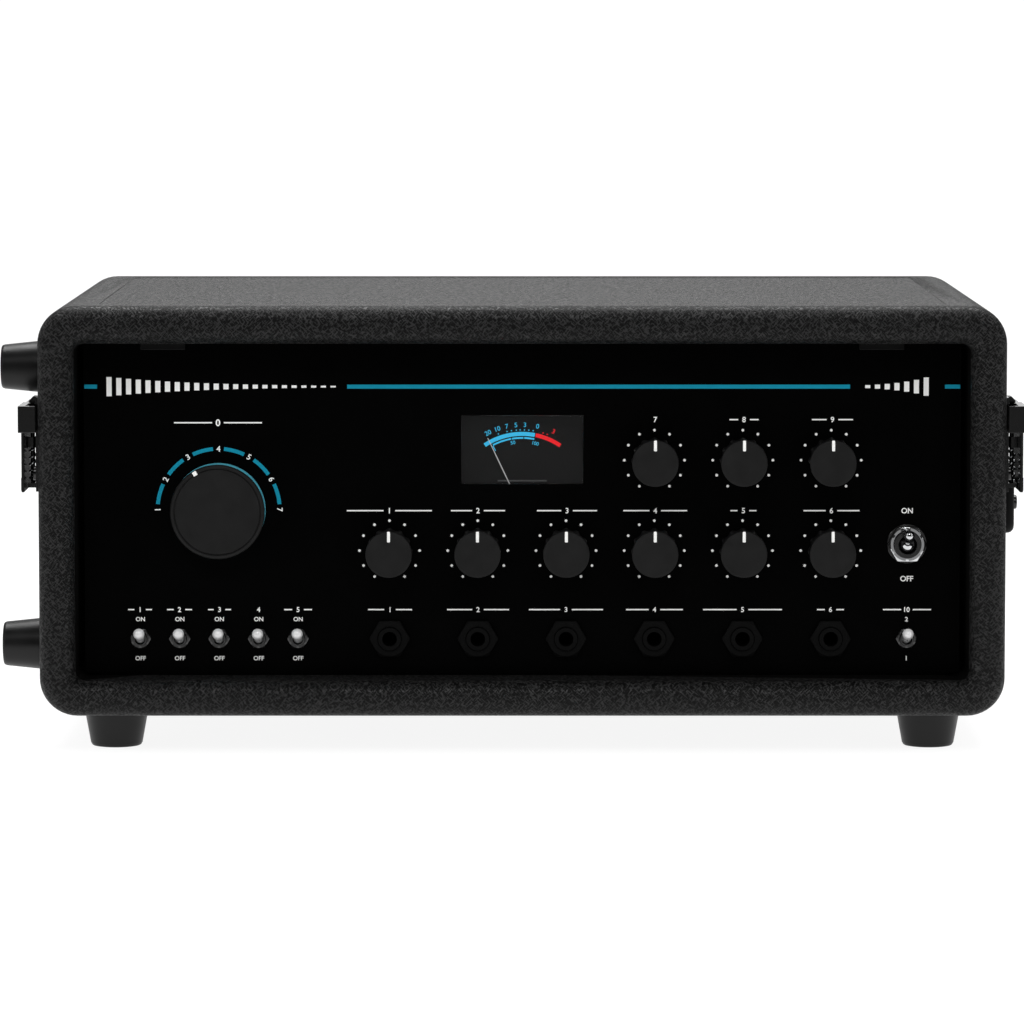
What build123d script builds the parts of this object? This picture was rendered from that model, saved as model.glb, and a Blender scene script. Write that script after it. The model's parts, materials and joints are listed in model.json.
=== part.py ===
"""Tape echo unit: a covered wooden case with a recessed control panel, a hinged top hatch over an
endless-loop tape deck, side hooks for a front cover, a strap handle and two sets of rubber feet.

Millimetres. +Z is up and the control panel faces -Y. The origin is the middle of the object's bounding
box at the plane that the bottom feet stand on. Inside the script a place is given as x from the middle
of the case, d as depth behind the front of the rim, and h as height above the underside of the case.
"""

from build123d import *
import os
from math import cos, pi, radians, sin

# ---------------------------------------------------------------- how far a cutting shape runs past its work
past = 1.0

# ---------------------------------------------------------------- case
case_width = 430.0
case_height = 183.0
case_depth = 285.0
case_corner_radius = 17.0
wall = 16.0
top_wall = 17.0
opening_corner_radius = 4.0
rim_round = 7.0

# ---------------------------------------------------------------- feet
bottom_foot_height = 17.0
bottom_foot_base_radius = 14.5
bottom_foot_end_radius = 11.4
bottom_foot_inset_x = 32.0
side_foot_height = 18.5
side_foot_base_radius = 11.7
side_foot_end_radius = 9.8
side_foot_inset_h = 29.0
side_foot_rear_drop = 9.0
foot_inset_d = 38.0
foot_edge_round = 1.0
foot_floor = 5.0
foot_pocket_radius = 5.2

# ---------------------------------------------------------------- wood screws in feet, caps and latches
screw_head_radius = 3.2
screw_head_height = 1.8
screw_shank_radius = 1.7
screw_length = 12.0
screw_clearance = 0.1
driver_recess = 1.0
driver_radius = 1.2
driver_slot_width = 0.7
screw_head_round = 0.8

# ---------------------------------------------------------------- strap handle on the right side
handle_rise = 14.0
strap_thickness = 3.5
strap_width = 24.0
strap_seat = 1.4
handle_cap_length = 28.0
handle_cap_latch_gap = 0.5
handle_screw_reach = 17.0
handle_cap_width = 27.0
handle_cap_height = 7.5
handle_cap_round = 3.0

# ---------------------------------------------------------------- top hatch and its piano hinge
hatch_inset_x = 27.0
hatch_front_d = 18.0
hatch_inset_rear = 28.0
hatch_flange_thickness = 8.0
hatch_ledge = 9.0
hatch_gap = 0.8
hatch_seat_gap = 0.3
hatch_edge_round = 0.6
hinge_slot = 4.4
hinge_axis_drop = 2.0
hinge_knuckle_radius = 1.9
hinge_knuckle_count = 11
hinge_knuckle_gap = 0.3
hinge_pin_radius = 0.9
hinge_leaf_thickness = 1.2
tab_side_inset = 8.6
tab_width = 20.0
tab_drop = 3.6
tab_thickness = 1.2
tab_leaf = 4.6
tab_stand_off = 0.8

# ---------------------------------------------------------------- front panel and chassis
panel_depth = 24.0
panel_thickness = 2.5
panel_side_gap = 3.0
panel_edge_gap = 1.2
panel_top_gap = 0.3
panel_corner_radius = 1.5
tray_thickness = 1.5
tray_side_gap = 9.0
tray_flange = 7.0
rear_recess = 22.0
rear_panel_thickness = 2.0
rear_panel_gap = 0.8
rear_panel_corner_radius = 4.0
bolt_x = 150.0
bolt_inset_d = 46.0
bolt_inset_rear = 8.0
bolt_radius = 2.0
bolt_clearance = 0.2
bolt_head_radius = 3.8
bolt_head_height = 3.0
bolt_pocket_radius = 5.0
bolt_pocket_depth = 6.0
bolt_nut_flats = 7.0
bolt_nut_thickness = 3.2
bolt_end = 0.8

# ---------------------------------------------------------------- control grid on the panel
column_pitch = 39.5
first_column_x = -59.4
column_count = 6
upper_row_h = 112.9
lower_row_h = 72.3
jack_row_h = 32.8
mode_x = -135.8
mode_h = 90.7
toggle_pitch = 17.67
toggle_count = 5
power_x = 172.2
power_h = 75.4

# ---------------------------------------------------------------- rotary knobs
knob_radius = 10.35
knob_height = 20.0
knob_foot_gap = 1.0
knob_cap_thickness = 2.6
knob_flute_count = 12
knob_flute_depth = 0.9
knob_flute_radius = 3.2
knob_edge = 0.6
knob_hollow_radius = 7.6
knob_hollow_depth = 4.5
pointer_width = 1.5
pointer_start = 6.8
pointer_groove = 0.3
shaft_radius = 3.0
shaft_clearance = 0.1
shaft_grip = 0.05
shaft_end_gap = 0.5
shaft_reach = 10.0
shaft_inside = 5.0
mode_knob_radius = 21.15
mode_knob_height = 13.0
mode_knob_edge = 1.2
mode_ring_width = 0.45
mode_ring_depth = 0.35
mode_groove_width = 0.6
mode_groove_depth = 0.5
mode_marker_size = 2.1
mode_marker_radius = 19.85
mode_rest_angle = -30.0
mode_hollow_depth = 5.0
mode_knob_wall = 4.0
mode_boss_setback = 3.0
mode_shaft_reach = 8.5
mode_shaft_end_gap = 0.3

# ---------------------------------------------------------------- potentiometers and mode switch
pot_radius = 8.5
pot_thickness = 9.0
pot_bushing_radius = 3.6
pot_bushing_length = 5.0
pot_nut_flats = 10.0
pot_nut_thickness = 2.0
hole_clearance = 0.15
pot_lug_length = 7.0
pot_lug_width = 2.0
pot_lug_thickness = 0.8
pot_lug_pitch = 5.0
pot_lug_setback = 3.0
pot_lug_root = 4.0
switch_wafer_radius = 17.0
switch_wafer_thickness = 20.0
mode_bushing_radius = 4.6
mode_nut_flats = 13.0

# ---------------------------------------------------------------- toggle switches
mini_bushing_radius = 3.05
mini_bushing_bore = 2.35
mini_bushing_rise = 4.5
mini_nut_flats = 8.6
mini_nut_thickness = 2.0
mini_pivot_drop = 3.2
mini_neck_radius = 0.9
mini_tip_radius = 2.5
mini_lever_length = 13.0
mini_neck_length = 3.9
mini_throw = 17.0
mini_body = (8.0, 13.2, 10.0)
power_bushing_radius = 6.0
power_bushing_bore = 4.2
power_bushing_rise = 7.0
power_nut_flats = 15.4
power_nut_thickness = 3.2
power_washer_radius = 8.9
power_washer_thickness = 0.9
power_pivot_drop = 4.0
power_neck_radius = 1.6
power_tip_radius = 2.3
power_lever_length = 17.5
power_neck_length = 5.2
power_throw = 20.0
power_body = (17.0, 30.0, 24.0)
lever_ball_gap = 0.25
lever_pin_radius = 0.5
lever_pin_gap = 0.12
nut_chamfer = 0.7

# ---------------------------------------------------------------- jack sockets
jack_bore_radius = 3.2
jack_bushing_radius = 5.2
jack_bushing_rise = 4.2
jack_nut_flats = 16.0
jack_nut_thickness = 3.0
jack_body_width = 17.0
jack_body_length = 26.0
jack_bore_length = 27.0

# ---------------------------------------------------------------- level meter
meter_window_width = 54.6
meter_window_height = 31.1
meter_window_h = 117.5
meter_glass_thickness = 1.5
meter_glass_recess = 0.4
meter_housing_margin_x = 5.0
meter_housing_margin_top = 5.0
meter_housing_wall = 2.0
meter_housing_depth = 26.0
meter_dial_setback = 5.0
meter_dial_thickness = 0.8
meter_pivot_drop = 8.0
meter_below_pivot = 7.0
needle_length = 33.4
needle_width = 0.5
needle_thickness = 0.4
needle_hub_radius = 2.4
needle_hub_length = 2.4
needle_pin_radius = 0.8
needle_pin_end = 0.4
needle_setback = 0.5
needle_rest_angle = -28.5
dial_bar_width = 22.0
dial_bar_height = 1.1
dial_bar_rise = 1.8
dial_bar_thickness = 0.4
dial_hole_clearance = 0.6

# ---------------------------------------------------------------- tape deck
deck_top_h = 114.0
deck_thickness = 2.0
deck_front_d = 78.0
deck_rear_gap = 5.0
deck_side_gap = 14.0
post_radius = 4.0
post_inset = 10.0
tape_width = 6.35
tape_thickness = 0.3
tape_lift = 7.0
tape_run_d = 118.0
tape_left_x = -140.0
tape_right_x = 135.0
tape_rear_d = 170.0
tape_corner_radius = 5.5
tape_gap = 0.15
guide_flange_radius = 6.8
guide_flange_thickness = 1.5
guide_flange_gap = 0.4
capstan_x = 95.0
capstan_radius = 3.0
capstan_rise = 18.0
flywheel_radius = 36.0
flywheel_thickness = 11.0
flywheel_drop = 44.0
flywheel_edge = 0.8
flywheel_dish_radius = 27.0
flywheel_hub_radius = 9.0
flywheel_dish_depth = 2.5
bearing_radius = 7.0
bearing_length = 14.0
pinch_radius = 10.0
pinch_height = 12.0
pinch_axle_radius = 2.0
pinch_pivot_x = 130.0
pinch_pivot_d = 100.0
pinch_arm_thickness = 2.0
pinch_arm_width = 9.0
pinch_pivot_radius = 3.0
pinch_pivot_over = 3.0
pinch_arm_gap = 0.5
pinch_axle_end = 1.0
pinch_collar_lift = 1.0
pinch_collar_wall = 1.8
head_width = 12.0
head_length = 14.0
head_height = 15.0
head_nose_radius = 7.0
head_shoulder = 2.0
head_positions = (-110.0, -80.0, -45.0, -10.0, 25.0)
bin_left_x = -150.0
bin_right_x = 60.0
bin_front_d = 150.0
bin_rear_gap = 16.0
bin_height = 20.0
bin_wall = 2.0
bin_floor = 1.5
bin_slot = 3.0
bin_slot_below_tape = 2.0
bin_cover_thickness = 2.5
bin_cover_overlap = 2.0
bin_cover_round = 4.0
motor_x = 60.0
motor_d = 200.0
motor_radius = 26.0
motor_height = 38.0
motor_shaft_radius = 2.0
motor_round = 3.0
motor_bush_radius = 6.0
motor_bush_length = 3.0
motor_bore_depth = 10.0
motor_shaft_depth = 9.0
pulley_radius = 8.0
pulley_margin = 1.5
belt_width = 5.0
belt_thickness = 1.2
belt_gap = 0.15

# ---------------------------------------------------------------- electronics
transformer_x = 122.0
transformer_inset_rear = 71.0
transformer_radius = 40.0
transformer_height = 36.0
transformer_bore = 12.0
transformer_round = 8.0
transformer_plate_thickness = 2.0
transformer_bolt_radius = 4.0
transformer_plate_radius = 24.0
board_left_x = -168.0
board_right_x = 48.0
board_rear_gap = 13.0
board_depth = 96.0
board_thickness = 1.6
board_lift = 8.0
board_standoff_radius = 3.0
board_standoff_inset = 8.0
capacitor_radius = 6.0
capacitor_height = 18.0
capacitor_count = 5
capacitor_pitch = 18.0
capacitor_inset_x = 24.0
capacitor_inset_d = 16.0
chip_count = 6
chip_pitch = 30.0
chip_inset_x = 26.0
chip_inset_d = 24.0
chip_length = 19.0
chip_width = 7.0
chip_height = 4.0
tank_left_x = -168.0
tank_right_x = 50.0
tank_jack_gap = 13.5
tank_board_gap = 10.0
tank_height = 32.0
tank_wall = 1.2
spring_radius = 3.5
spring_wire_radius = 0.5
spring_count = 3
inlet_x = 140.0
inlet_h = 52.0
inlet_width = 27.0
inlet_height = 19.5
inlet_flange_width = 50.0
inlet_flange_height = 24.0
inlet_flange_thickness = 2.5
inlet_flange_round = 4.0
inlet_cavity_width = 24.0
inlet_cavity_height = 16.4
inlet_cavity_depth = 16.0
inlet_body_depth = 19.0
inlet_pin_length = 10.0
inlet_pin_width = 4.0
inlet_pin_thickness = 2.0
inlet_pin_pitch = 7.0
inlet_pin_stagger = 2.0
vent_count = 12
vent_width = 3.0
vent_height = 46.0
vent_pitch = 8.0
vent_x = -60.0
vent_h = 100.0

# ---------------------------------------------------------------- side hooks for the front cover
latch_foot_gap = 0.6
latch_height = 41.9
latch_front_d = 12.0
latch_length = 37.0
latch_plate_thickness = 1.5
latch_screw_inset_h = 8.0
latch_screw_d = 16.5
latch_ear_thickness = 2.0
latch_ear_length = 9.0
latch_top_ear_out = 5.1
latch_top_ear_height = 3.0
latch_top_ear_chamfer = 1.8
latch_low_ear_lift = 1.0
latch_low_ear_relief = 0.6
latch_pin_radius = 1.0
latch_pin_out = 3.9
latch_pin_d = 26.0
latch_gap = 0.3
latch_skin_out = 7.6
latch_skin_thickness = 1.3
latch_arm_out = 8.8
latch_arm_height = 11.9
latch_arm_thickness = 3.4
latch_arm_behind_pin = 6.0
latch_claw_d = 5.0
latch_claw_thickness = 3.0
latch_claw_gap = 0.9
latch_knuckle_radius = 2.1
latch_knuckle_length = 5.0
latch_middle_knuckle_lift = 18.7
latch_spring_radius = 2.0
latch_spring_bore = 1.4
latch_flare = 0.8
latch_flare_height = 6.0
latch_flare_length = 34.0

# ---------------------------------------------------------------- values worked out from the driving sizes
case_x = (side_foot_height - handle_rise) / 2
opening_half_width = case_width / 2 - wall
opening_low_h = wall
opening_high_h = case_height - top_wall
opening_height = opening_high_h - opening_low_h
opening_mid_h = (opening_low_h + opening_high_h) / 2
panel_back_d = panel_depth + panel_thickness
panel_half_width = opening_half_width - panel_side_gap
panel_low_h = opening_low_h + panel_edge_gap
panel_high_h = opening_high_h - panel_top_gap
rear_panel_front_d = case_depth - rear_recess - rear_panel_thickness
tray_top_h = opening_low_h + tray_thickness
hatch_half_width = case_width / 2 - hatch_inset_x
hatch_rear_d = case_depth - hatch_inset_rear
hatch_step_h = case_height - hatch_flange_thickness
hatch_low_h = opening_high_h + hatch_seat_gap
hinge_d = hatch_rear_d + hinge_slot / 2
hinge_rear_d = hatch_rear_d + hinge_slot
hinge_h = case_height - hinge_axis_drop
bolt_places = [
    (sx * bolt_x, d) for sx in (-1, 1) for d in (bolt_inset_d, rear_panel_front_d - bolt_inset_rear)
]
column_x = [first_column_x + column_pitch * i for i in range(column_count)]
toggle_x = [mode_x + toggle_pitch * (i - (toggle_count - 1) / 2) for i in range(toggle_count)]
handle_d = case_depth / 2
strap_span = case_depth - 2 * (
    latch_front_d + latch_length + handle_cap_latch_gap + handle_cap_length
)
side_x = case_width / 2
side_foot_high_h = case_height - side_foot_inset_h
latch_low_h = side_foot_high_h - side_foot_base_radius - latch_foot_gap - latch_height
latch_middle_knuckle_h = latch_low_h + latch_middle_knuckle_lift
deck_low_h = deck_top_h - deck_thickness
tape_low_h = deck_top_h + tape_lift
capstan_d = tape_run_d + tape_thickness / 2 + tape_gap + capstan_radius
pinch_d = tape_run_d - tape_thickness / 2 - tape_gap - pinch_radius
flywheel_low_h = deck_top_h - flywheel_drop - flywheel_thickness
belt_low_h = flywheel_low_h + (flywheel_thickness - belt_width) / 2
meter_low_h = meter_window_h - meter_window_height / 2
meter_pivot_h = meter_low_h - meter_pivot_drop
meter_dial_d = panel_back_d + meter_dial_setback
needle_d = (panel_back_d + meter_dial_d) / 2 + needle_setback
bin_rear_d = rear_panel_front_d - bin_rear_gap
transformer_d = rear_panel_front_d - transformer_inset_rear
board_rear_d = rear_panel_front_d - board_rear_gap
board_front_d = board_rear_d - board_depth
tank_front_d = panel_back_d + jack_body_length + tank_jack_gap
tank_rear_d = board_front_d - tank_board_gap

KNOBS = {
    "volume_knob": (column_x[0], lower_row_h),
    "chorus_rate_knob": (column_x[1], lower_row_h),
    "chorus_depth_knob": (column_x[2], lower_row_h),
    "reverb_volume_knob": (column_x[3], lower_row_h),
    "speed_knob": (column_x[4], lower_row_h),
    "echo_volume_knob": (column_x[5], lower_row_h),
    "bass_knob": (column_x[3], upper_row_h),
    "treble_knob": (column_x[4], upper_row_h),
    "feedback_knob": (column_x[5], upper_row_h),
}
MINI_TOGGLES = {
    "direct_toggle": toggle_x[0],
    "motor_toggle": toggle_x[1],
    "overdub_toggle": toggle_x[2],
    "echo_toggle": toggle_x[3],
    "chorus_toggle": toggle_x[4],
    "output_level_toggle": power_x,
}


# ---------------------------------------------------------------- placing helpers
def spot(x, d, h):
    """A move from the case's own corner of reference to the row frame."""
    return Pos(case_x + x, d - case_depth / 2, bottom_foot_height + h)


def block(x0, x1, d0, d1, h0, h1):
    """A box between two values on each of the case's own directions."""
    return spot((x0 + x1) / 2, (d0 + d1) / 2, (h0 + h1) / 2) * Box(
        abs(x1 - x0), abs(d1 - d0), abs(h1 - h0)
    )


def along_depth(radius, d0, d1, x, h):
    """A cylinder whose axis runs front to back."""
    return spot(x, (d0 + d1) / 2, h) * Rot(90, 0, 0) * Cylinder(radius, d1 - d0)


def upright(radius, h0, h1, x, d):
    """A cylinder whose axis stands up."""
    return spot(x, d, (h0 + h1) / 2) * Cylinder(radius, h1 - h0)


def sideways(radius, x0, x1, d, h):
    """A cylinder whose axis runs left to right."""
    return spot((x0 + x1) / 2, d, h) * Rot(0, 90, 0) * Cylinder(radius, abs(x1 - x0))


def hex_nut(flats, bore, d0, d1, x, h):
    """A hexagon nut seen from the front, flats above and below, its front corners chamfered."""
    profile = RegularPolygon(flats / 2, 6, major_radius=False)
    body = extrude(Plane.XZ * profile, d1 - d0)
    body = spot(x, d1, h) * body
    corner = flats / 2 / cos(pi / 6)
    cone = Cone(corner - nut_chamfer, corner - nut_chamfer + (d1 - d0) * 2, (d1 - d0) * 2)
    body = body & (spot(x, d1 - (d1 - d0), h) * Rot(-90, 0, 0) * Pos(0, 0, d1 - d0) * cone)
    return body - along_depth(bore, d0 - past, d1 + past, x, h)


def save(node, *solids):
    """Writes one node as a STEP file, from one or more separate solids."""
    flat = [s for item in solids for s in item.solids()]
    shape = flat[0] if len(flat) == 1 else Compound(children=flat)
    export_step(shape, f"parts/{node}.step")


# ---------------------------------------------------------------- case, hatch, feet, handle
def rounded_prism(width, height, radius, d0, d1, mid_h):
    """A rounded rectangle seen from the front, running from depth d0 to d1."""
    profile = RectangleRounded(width, height, radius)
    return spot(0, d1, mid_h) * extrude(Plane.XZ * profile, d1 - d0)


def round_end_edges(body, inner):
    """Rounds the outer or the inner edge loop of both ends of the sleeve."""
    for end in (0, -1):
        face = body.faces().sort_by(Axis.Y)[end]
        loop = face.inner_wires()[0] if inner else face.outer_wire()
        body = fillet(loop.edges(), rim_round)
    return body


def make_case_shell():
    """The covered plywood sleeve, rounded at both rims, with the stepped hatch opening in its top."""
    body = rounded_prism(case_width, case_height, case_corner_radius, 0, case_depth, case_height / 2)
    body = round_end_edges(body, inner=False)
    cavity = rounded_prism(
        2 * opening_half_width, opening_height, opening_corner_radius, -1, case_depth + past, opening_mid_h
    )
    body = round_end_edges(body - cavity, inner=True)
    half = hatch_half_width + hatch_gap
    front = hatch_front_d - hatch_gap
    ledge_h = hatch_step_h - hatch_seat_gap
    upper = block(-half, half, front, hinge_rear_d, ledge_h, case_height + past)
    plug_half = half - hatch_ledge
    lower = block(
        -plug_half, plug_half, front, hatch_rear_d + hatch_gap - hatch_ledge,
        opening_high_h - past, ledge_h + past,
    )
    body = body - upper - lower
    for x, d in bolt_places:
        body = body - upright(bolt_pocket_radius, -1, bolt_pocket_depth, x, d)
        body = body - upright(bolt_radius + bolt_clearance, 0, opening_low_h + past, x, d)
    for move in screw_moves():
        body = body - screw_hole(move)
    return body


def hinge_half(moving):
    """One leaf of the piano hinge with its knuckles; the standing half also holds the pin."""
    wall_d = hatch_rear_d if moving else hinge_rear_d
    inner_d = wall_d + hinge_leaf_thickness * (1 if moving else -1)
    shared_h = hinge_h - hinge_knuckle_radius - hinge_knuckle_gap
    half = block(-hatch_half_width, hatch_half_width, wall_d, inner_d, hatch_step_h, shared_h)
    step = 2 * hatch_half_width / hinge_knuckle_count
    for i in range(int(moving), hinge_knuckle_count, 2):
        x0 = -hatch_half_width + step * i + hinge_knuckle_gap / 2
        x1 = x0 + step - hinge_knuckle_gap
        half = half + block(x0, x1, wall_d, inner_d, hatch_step_h, hinge_h)
        half = half + sideways(hinge_knuckle_radius, x0, x1, hinge_d, hinge_h)
    if moving:
        bore = hinge_pin_radius + shaft_clearance
        return half - sideways(bore, -hatch_half_width - past, hatch_half_width + past, hinge_d, hinge_h)
    end = hatch_half_width - hinge_knuckle_gap / 2
    return half + sideways(hinge_pin_radius, -end, end, hinge_d, hinge_h)


def make_top_hatch():
    """The covered hatch board: a flange that sits on the ledges and a plug that fills the opening."""
    half = hatch_half_width
    flange = block(-half, half, hatch_front_d, hatch_rear_d, hatch_step_h, case_height)
    flange = fillet(flange.faces().sort_by(Axis.Z)[-1].edges(), hatch_edge_round)
    plug_half = half - hatch_ledge
    plug = block(-plug_half, plug_half, hatch_front_d, hatch_rear_d - hatch_ledge, hatch_low_h, hatch_step_h)
    return flange + plug


def make_hatch_tabs():
    """Two steel angle tabs under the hatch's front edge, pushed up from the recess to open it."""
    tabs = []
    back = panel_depth - tab_stand_off
    outer = hatch_half_width - hatch_ledge - tab_side_inset
    for x0, x1 in ((-outer, tab_width - outer), (outer - tab_width, outer)):
        leaf = block(x0, x1, back - tab_leaf, back, hatch_low_h - tab_thickness, hatch_low_h)
        drop = block(x0, x1, back - tab_thickness, back, opening_high_h - tab_drop, hatch_low_h)
        tabs.append(leaf + drop)
    return tabs


def foot(height, base_radius, end_radius):
    """A tapered rubber foot hanging down from z = 0, hollowed for its screw."""
    cone = Pos(0, 0, -height / 2) * Cone(end_radius, base_radius, height)
    cone = fillet(cone.faces().sort_by(Axis.Z)[0].edges(), foot_edge_round)
    pocket = Pos(0, 0, -(foot_floor + height) / 2) * Cylinder(foot_pocket_radius, height - foot_floor)
    hole = Pos(0, 0, -foot_floor / 2) * Cylinder(screw_shank_radius + screw_clearance, foot_floor)
    return cone - pocket - hole


def wood_screw():
    """A pan-head screw pointing up: the underside of its head is z = 0 and its slot faces down."""
    head = Pos(0, 0, -screw_head_height / 2) * Cylinder(screw_head_radius, screw_head_height)
    head = fillet(head.faces().sort_by(Axis.Z)[0].edges(), screw_head_round)
    shank = Pos(0, 0, screw_length / 2) * Cylinder(screw_shank_radius, screw_length)
    slot = Pos(0, 0, -screw_head_height) * (
        Box(2 * driver_radius, driver_slot_width, 2 * driver_recess)
        + Box(driver_slot_width, 2 * driver_radius, 2 * driver_recess)
    )
    return head + shank - slot


def bottom_foot_places():
    """Where the four feet under the case sit."""
    x = side_x - bottom_foot_inset_x
    return [(sx * x, d) for sx in (-1, 1) for d in (foot_inset_d, case_depth - foot_inset_d)]


def side_foot_places():
    """Where the four feet on the left side sit."""
    front_d = foot_inset_d
    rear_d = case_depth - foot_inset_d
    front = [(front_d, side_foot_inset_h), (front_d, side_foot_high_h)]
    rear = [(rear_d, side_foot_inset_h), (rear_d, side_foot_high_h - side_foot_rear_drop)]
    return front + rear


def handle_screw_places():
    """Where the screws of the two handle caps sit."""
    reach = strap_span / 2 + handle_screw_reach
    return [(handle_d + s * reach, opening_mid_h) for s in (-1, 1)]


def latch_screw_places():
    """Where the two screws of one latch plate sit."""
    high = latch_low_h + latch_height - latch_screw_inset_h
    return [(latch_screw_d, latch_low_h + latch_screw_inset_h), (latch_screw_d, high)]


def make_feet():
    """Both sets of feet."""
    bottom = foot(bottom_foot_height, bottom_foot_base_radius, bottom_foot_end_radius)
    side = foot(side_foot_height, side_foot_base_radius, side_foot_end_radius)
    save("bottom_feet", *[spot(x, d, 0) * bottom for x, d in bottom_foot_places()])
    save("side_feet", *[spot(-side_x, d, h) * Rot(0, 90, 0) * side for d, h in side_foot_places()])


def screw_hole(move):
    """The hole that a wood screw cuts in what it is driven into."""
    depth = screw_length
    return move * Pos(0, 0, depth / 2) * Cylinder(screw_shank_radius + screw_clearance, depth + past)


def screw_moves():
    """Every place and direction of a wood screw, in the feet, the handle caps and the latch plates."""
    moves = [spot(x, d, -foot_floor) for x, d in bottom_foot_places()]
    moves += [spot(-side_x - foot_floor, d, h) * Rot(0, 90, 0) for d, h in side_foot_places()]
    moves += [spot(side_x + handle_cap_height, d, h) * Rot(0, -90, 0) for d, h in handle_screw_places()]
    for side in (-1, 1):
        out = side * (side_x + latch_plate_thickness)
        moves += [spot(out, d, h) * Rot(0, -90 * side, 0) for d, h in latch_screw_places()]
    return moves


def make_handle():
    """The strap, a flat band bent to an arc, and the two caps that hold its ends."""
    half = strap_span / 2
    low = strap_seat + strap_thickness / 2
    high = handle_rise - strap_thickness / 2
    radius = (half**2 + (high - low) ** 2) / (2 * (high - low))
    centre = high - radius
    ring = Cylinder(radius + strap_thickness / 2, strap_width) - Cylinder(
        radius - strap_thickness / 2, strap_width + past
    )
    strap = spot(side_x + centre, handle_d, opening_mid_h) * ring
    strap = strap & block(
        side_x, side_x + handle_rise * 2, handle_d - half, handle_d + half,
        opening_mid_h - strap_width, opening_mid_h + strap_width,
    )
    caps = []
    for side, (d, h) in zip((-1, 1), handle_screw_places()):
        near = handle_d + side * half
        cap = block(
            side_x, side_x + handle_cap_height, near, near + side * handle_cap_length,
            h - handle_cap_width / 2, h + handle_cap_width / 2,
        )
        cap = fillet(cap.faces().sort_by(Axis.X)[-1].edges(), handle_cap_round)
        hole_end = side_x + handle_cap_height + past
        hole = sideways(screw_shank_radius + screw_clearance, side_x - past, hole_end, d, h)
        caps.append(cap - hole)
    save("handle_strap", strap)
    save("handle_end_caps", *caps)


# ---------------------------------------------------------------- panels and chassis
def make_front_panel():
    """The black control panel, pierced for every control."""
    plate = rounded_prism(
        2 * panel_half_width, panel_high_h - panel_low_h, panel_corner_radius,
        panel_depth, panel_back_d, (panel_low_h + panel_high_h) / 2,
    )

    def hole(radius, x, h):
        return along_depth(radius + hole_clearance, panel_depth - past, panel_back_d + past, x, h)

    cuts = [hole(pot_bushing_radius, x, h) for x, h in KNOBS.values()]
    cuts += [hole(mini_bushing_radius, x, jack_row_h) for x in MINI_TOGGLES.values()]
    cuts += [hole(jack_bushing_radius, x, jack_row_h) for x in column_x]
    cuts += [hole(mode_bushing_radius, mode_x, mode_h), hole(power_bushing_radius, power_x, power_h)]
    cuts.append(
        block(
            -meter_window_width / 2, meter_window_width / 2, panel_depth - past, panel_back_d + past,
            meter_low_h, meter_low_h + meter_window_height,
        )
    )
    return plate - cuts


def make_chassis_tray():
    """The folded steel tray that stands on the case floor between the two panels."""
    half = opening_half_width - tray_side_gap
    low = opening_low_h
    floor_sheet = block(-half, half, panel_back_d, rear_panel_front_d, low, tray_top_h)
    front = block(-half, half, panel_back_d, panel_back_d + tray_thickness, low, low + tray_flange)
    rear = block(-half, half, rear_panel_front_d - tray_thickness, rear_panel_front_d, low, low + tray_flange)
    tray = floor_sheet + front + rear
    for x, d in bolt_places:
        tray = tray - upright(bolt_radius + bolt_clearance, low - past, tray_top_h + past, x, d)
    return tray


def make_chassis_bolts():
    """Four bolts up through the case floor into the tray, each with its nut."""
    pieces = []
    for x, d in bolt_places:
        nut_top = tray_top_h + bolt_nut_thickness
        head = upright(bolt_head_radius, bolt_pocket_depth - bolt_head_height, bolt_pocket_depth, x, d)
        bolt = head + upright(bolt_radius, bolt_pocket_depth, nut_top + bolt_end, x, d)
        nut = extrude(RegularPolygon(bolt_nut_flats / 2, 6, major_radius=False), bolt_nut_thickness)
        nut = spot(x, d, tray_top_h) * nut
        pieces += [bolt, nut - upright(bolt_radius, tray_top_h - past, nut_top + past, x, d)]
    return pieces


def make_rear_panel():
    """The recessed rear plate with its vent slots and the cut-out for the mains inlet."""
    half = opening_half_width - rear_panel_gap
    back = rear_panel_front_d + rear_panel_thickness
    plate = rounded_prism(
        2 * half, opening_height - 2 * rear_panel_gap, rear_panel_corner_radius,
        rear_panel_front_d, back, opening_mid_h,
    )
    cuts = [
        block(
            inlet_x - inlet_width / 2 - hole_clearance, inlet_x + inlet_width / 2 + hole_clearance,
            rear_panel_front_d - past, back + past,
            inlet_h - inlet_height / 2 - hole_clearance, inlet_h + inlet_height / 2 + hole_clearance,
        )
    ]
    for i in range(vent_count):
        x = vent_x + vent_pitch * (i - (vent_count - 1) / 2)
        cuts.append(
            block(
                x - vent_width / 2, x + vent_width / 2, rear_panel_front_d - past, back + past,
                vent_h - vent_height / 2, vent_h + vent_height / 2,
            )
        )
    return plate - cuts


# ---------------------------------------------------------------- knobs and what they turn
def knob_shaft(x, h, rise):
    """The steel shaft of a control, from inside its body to inside its knob."""
    return along_depth(shaft_radius, panel_depth - rise, panel_back_d + shaft_inside, x, h)


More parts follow.
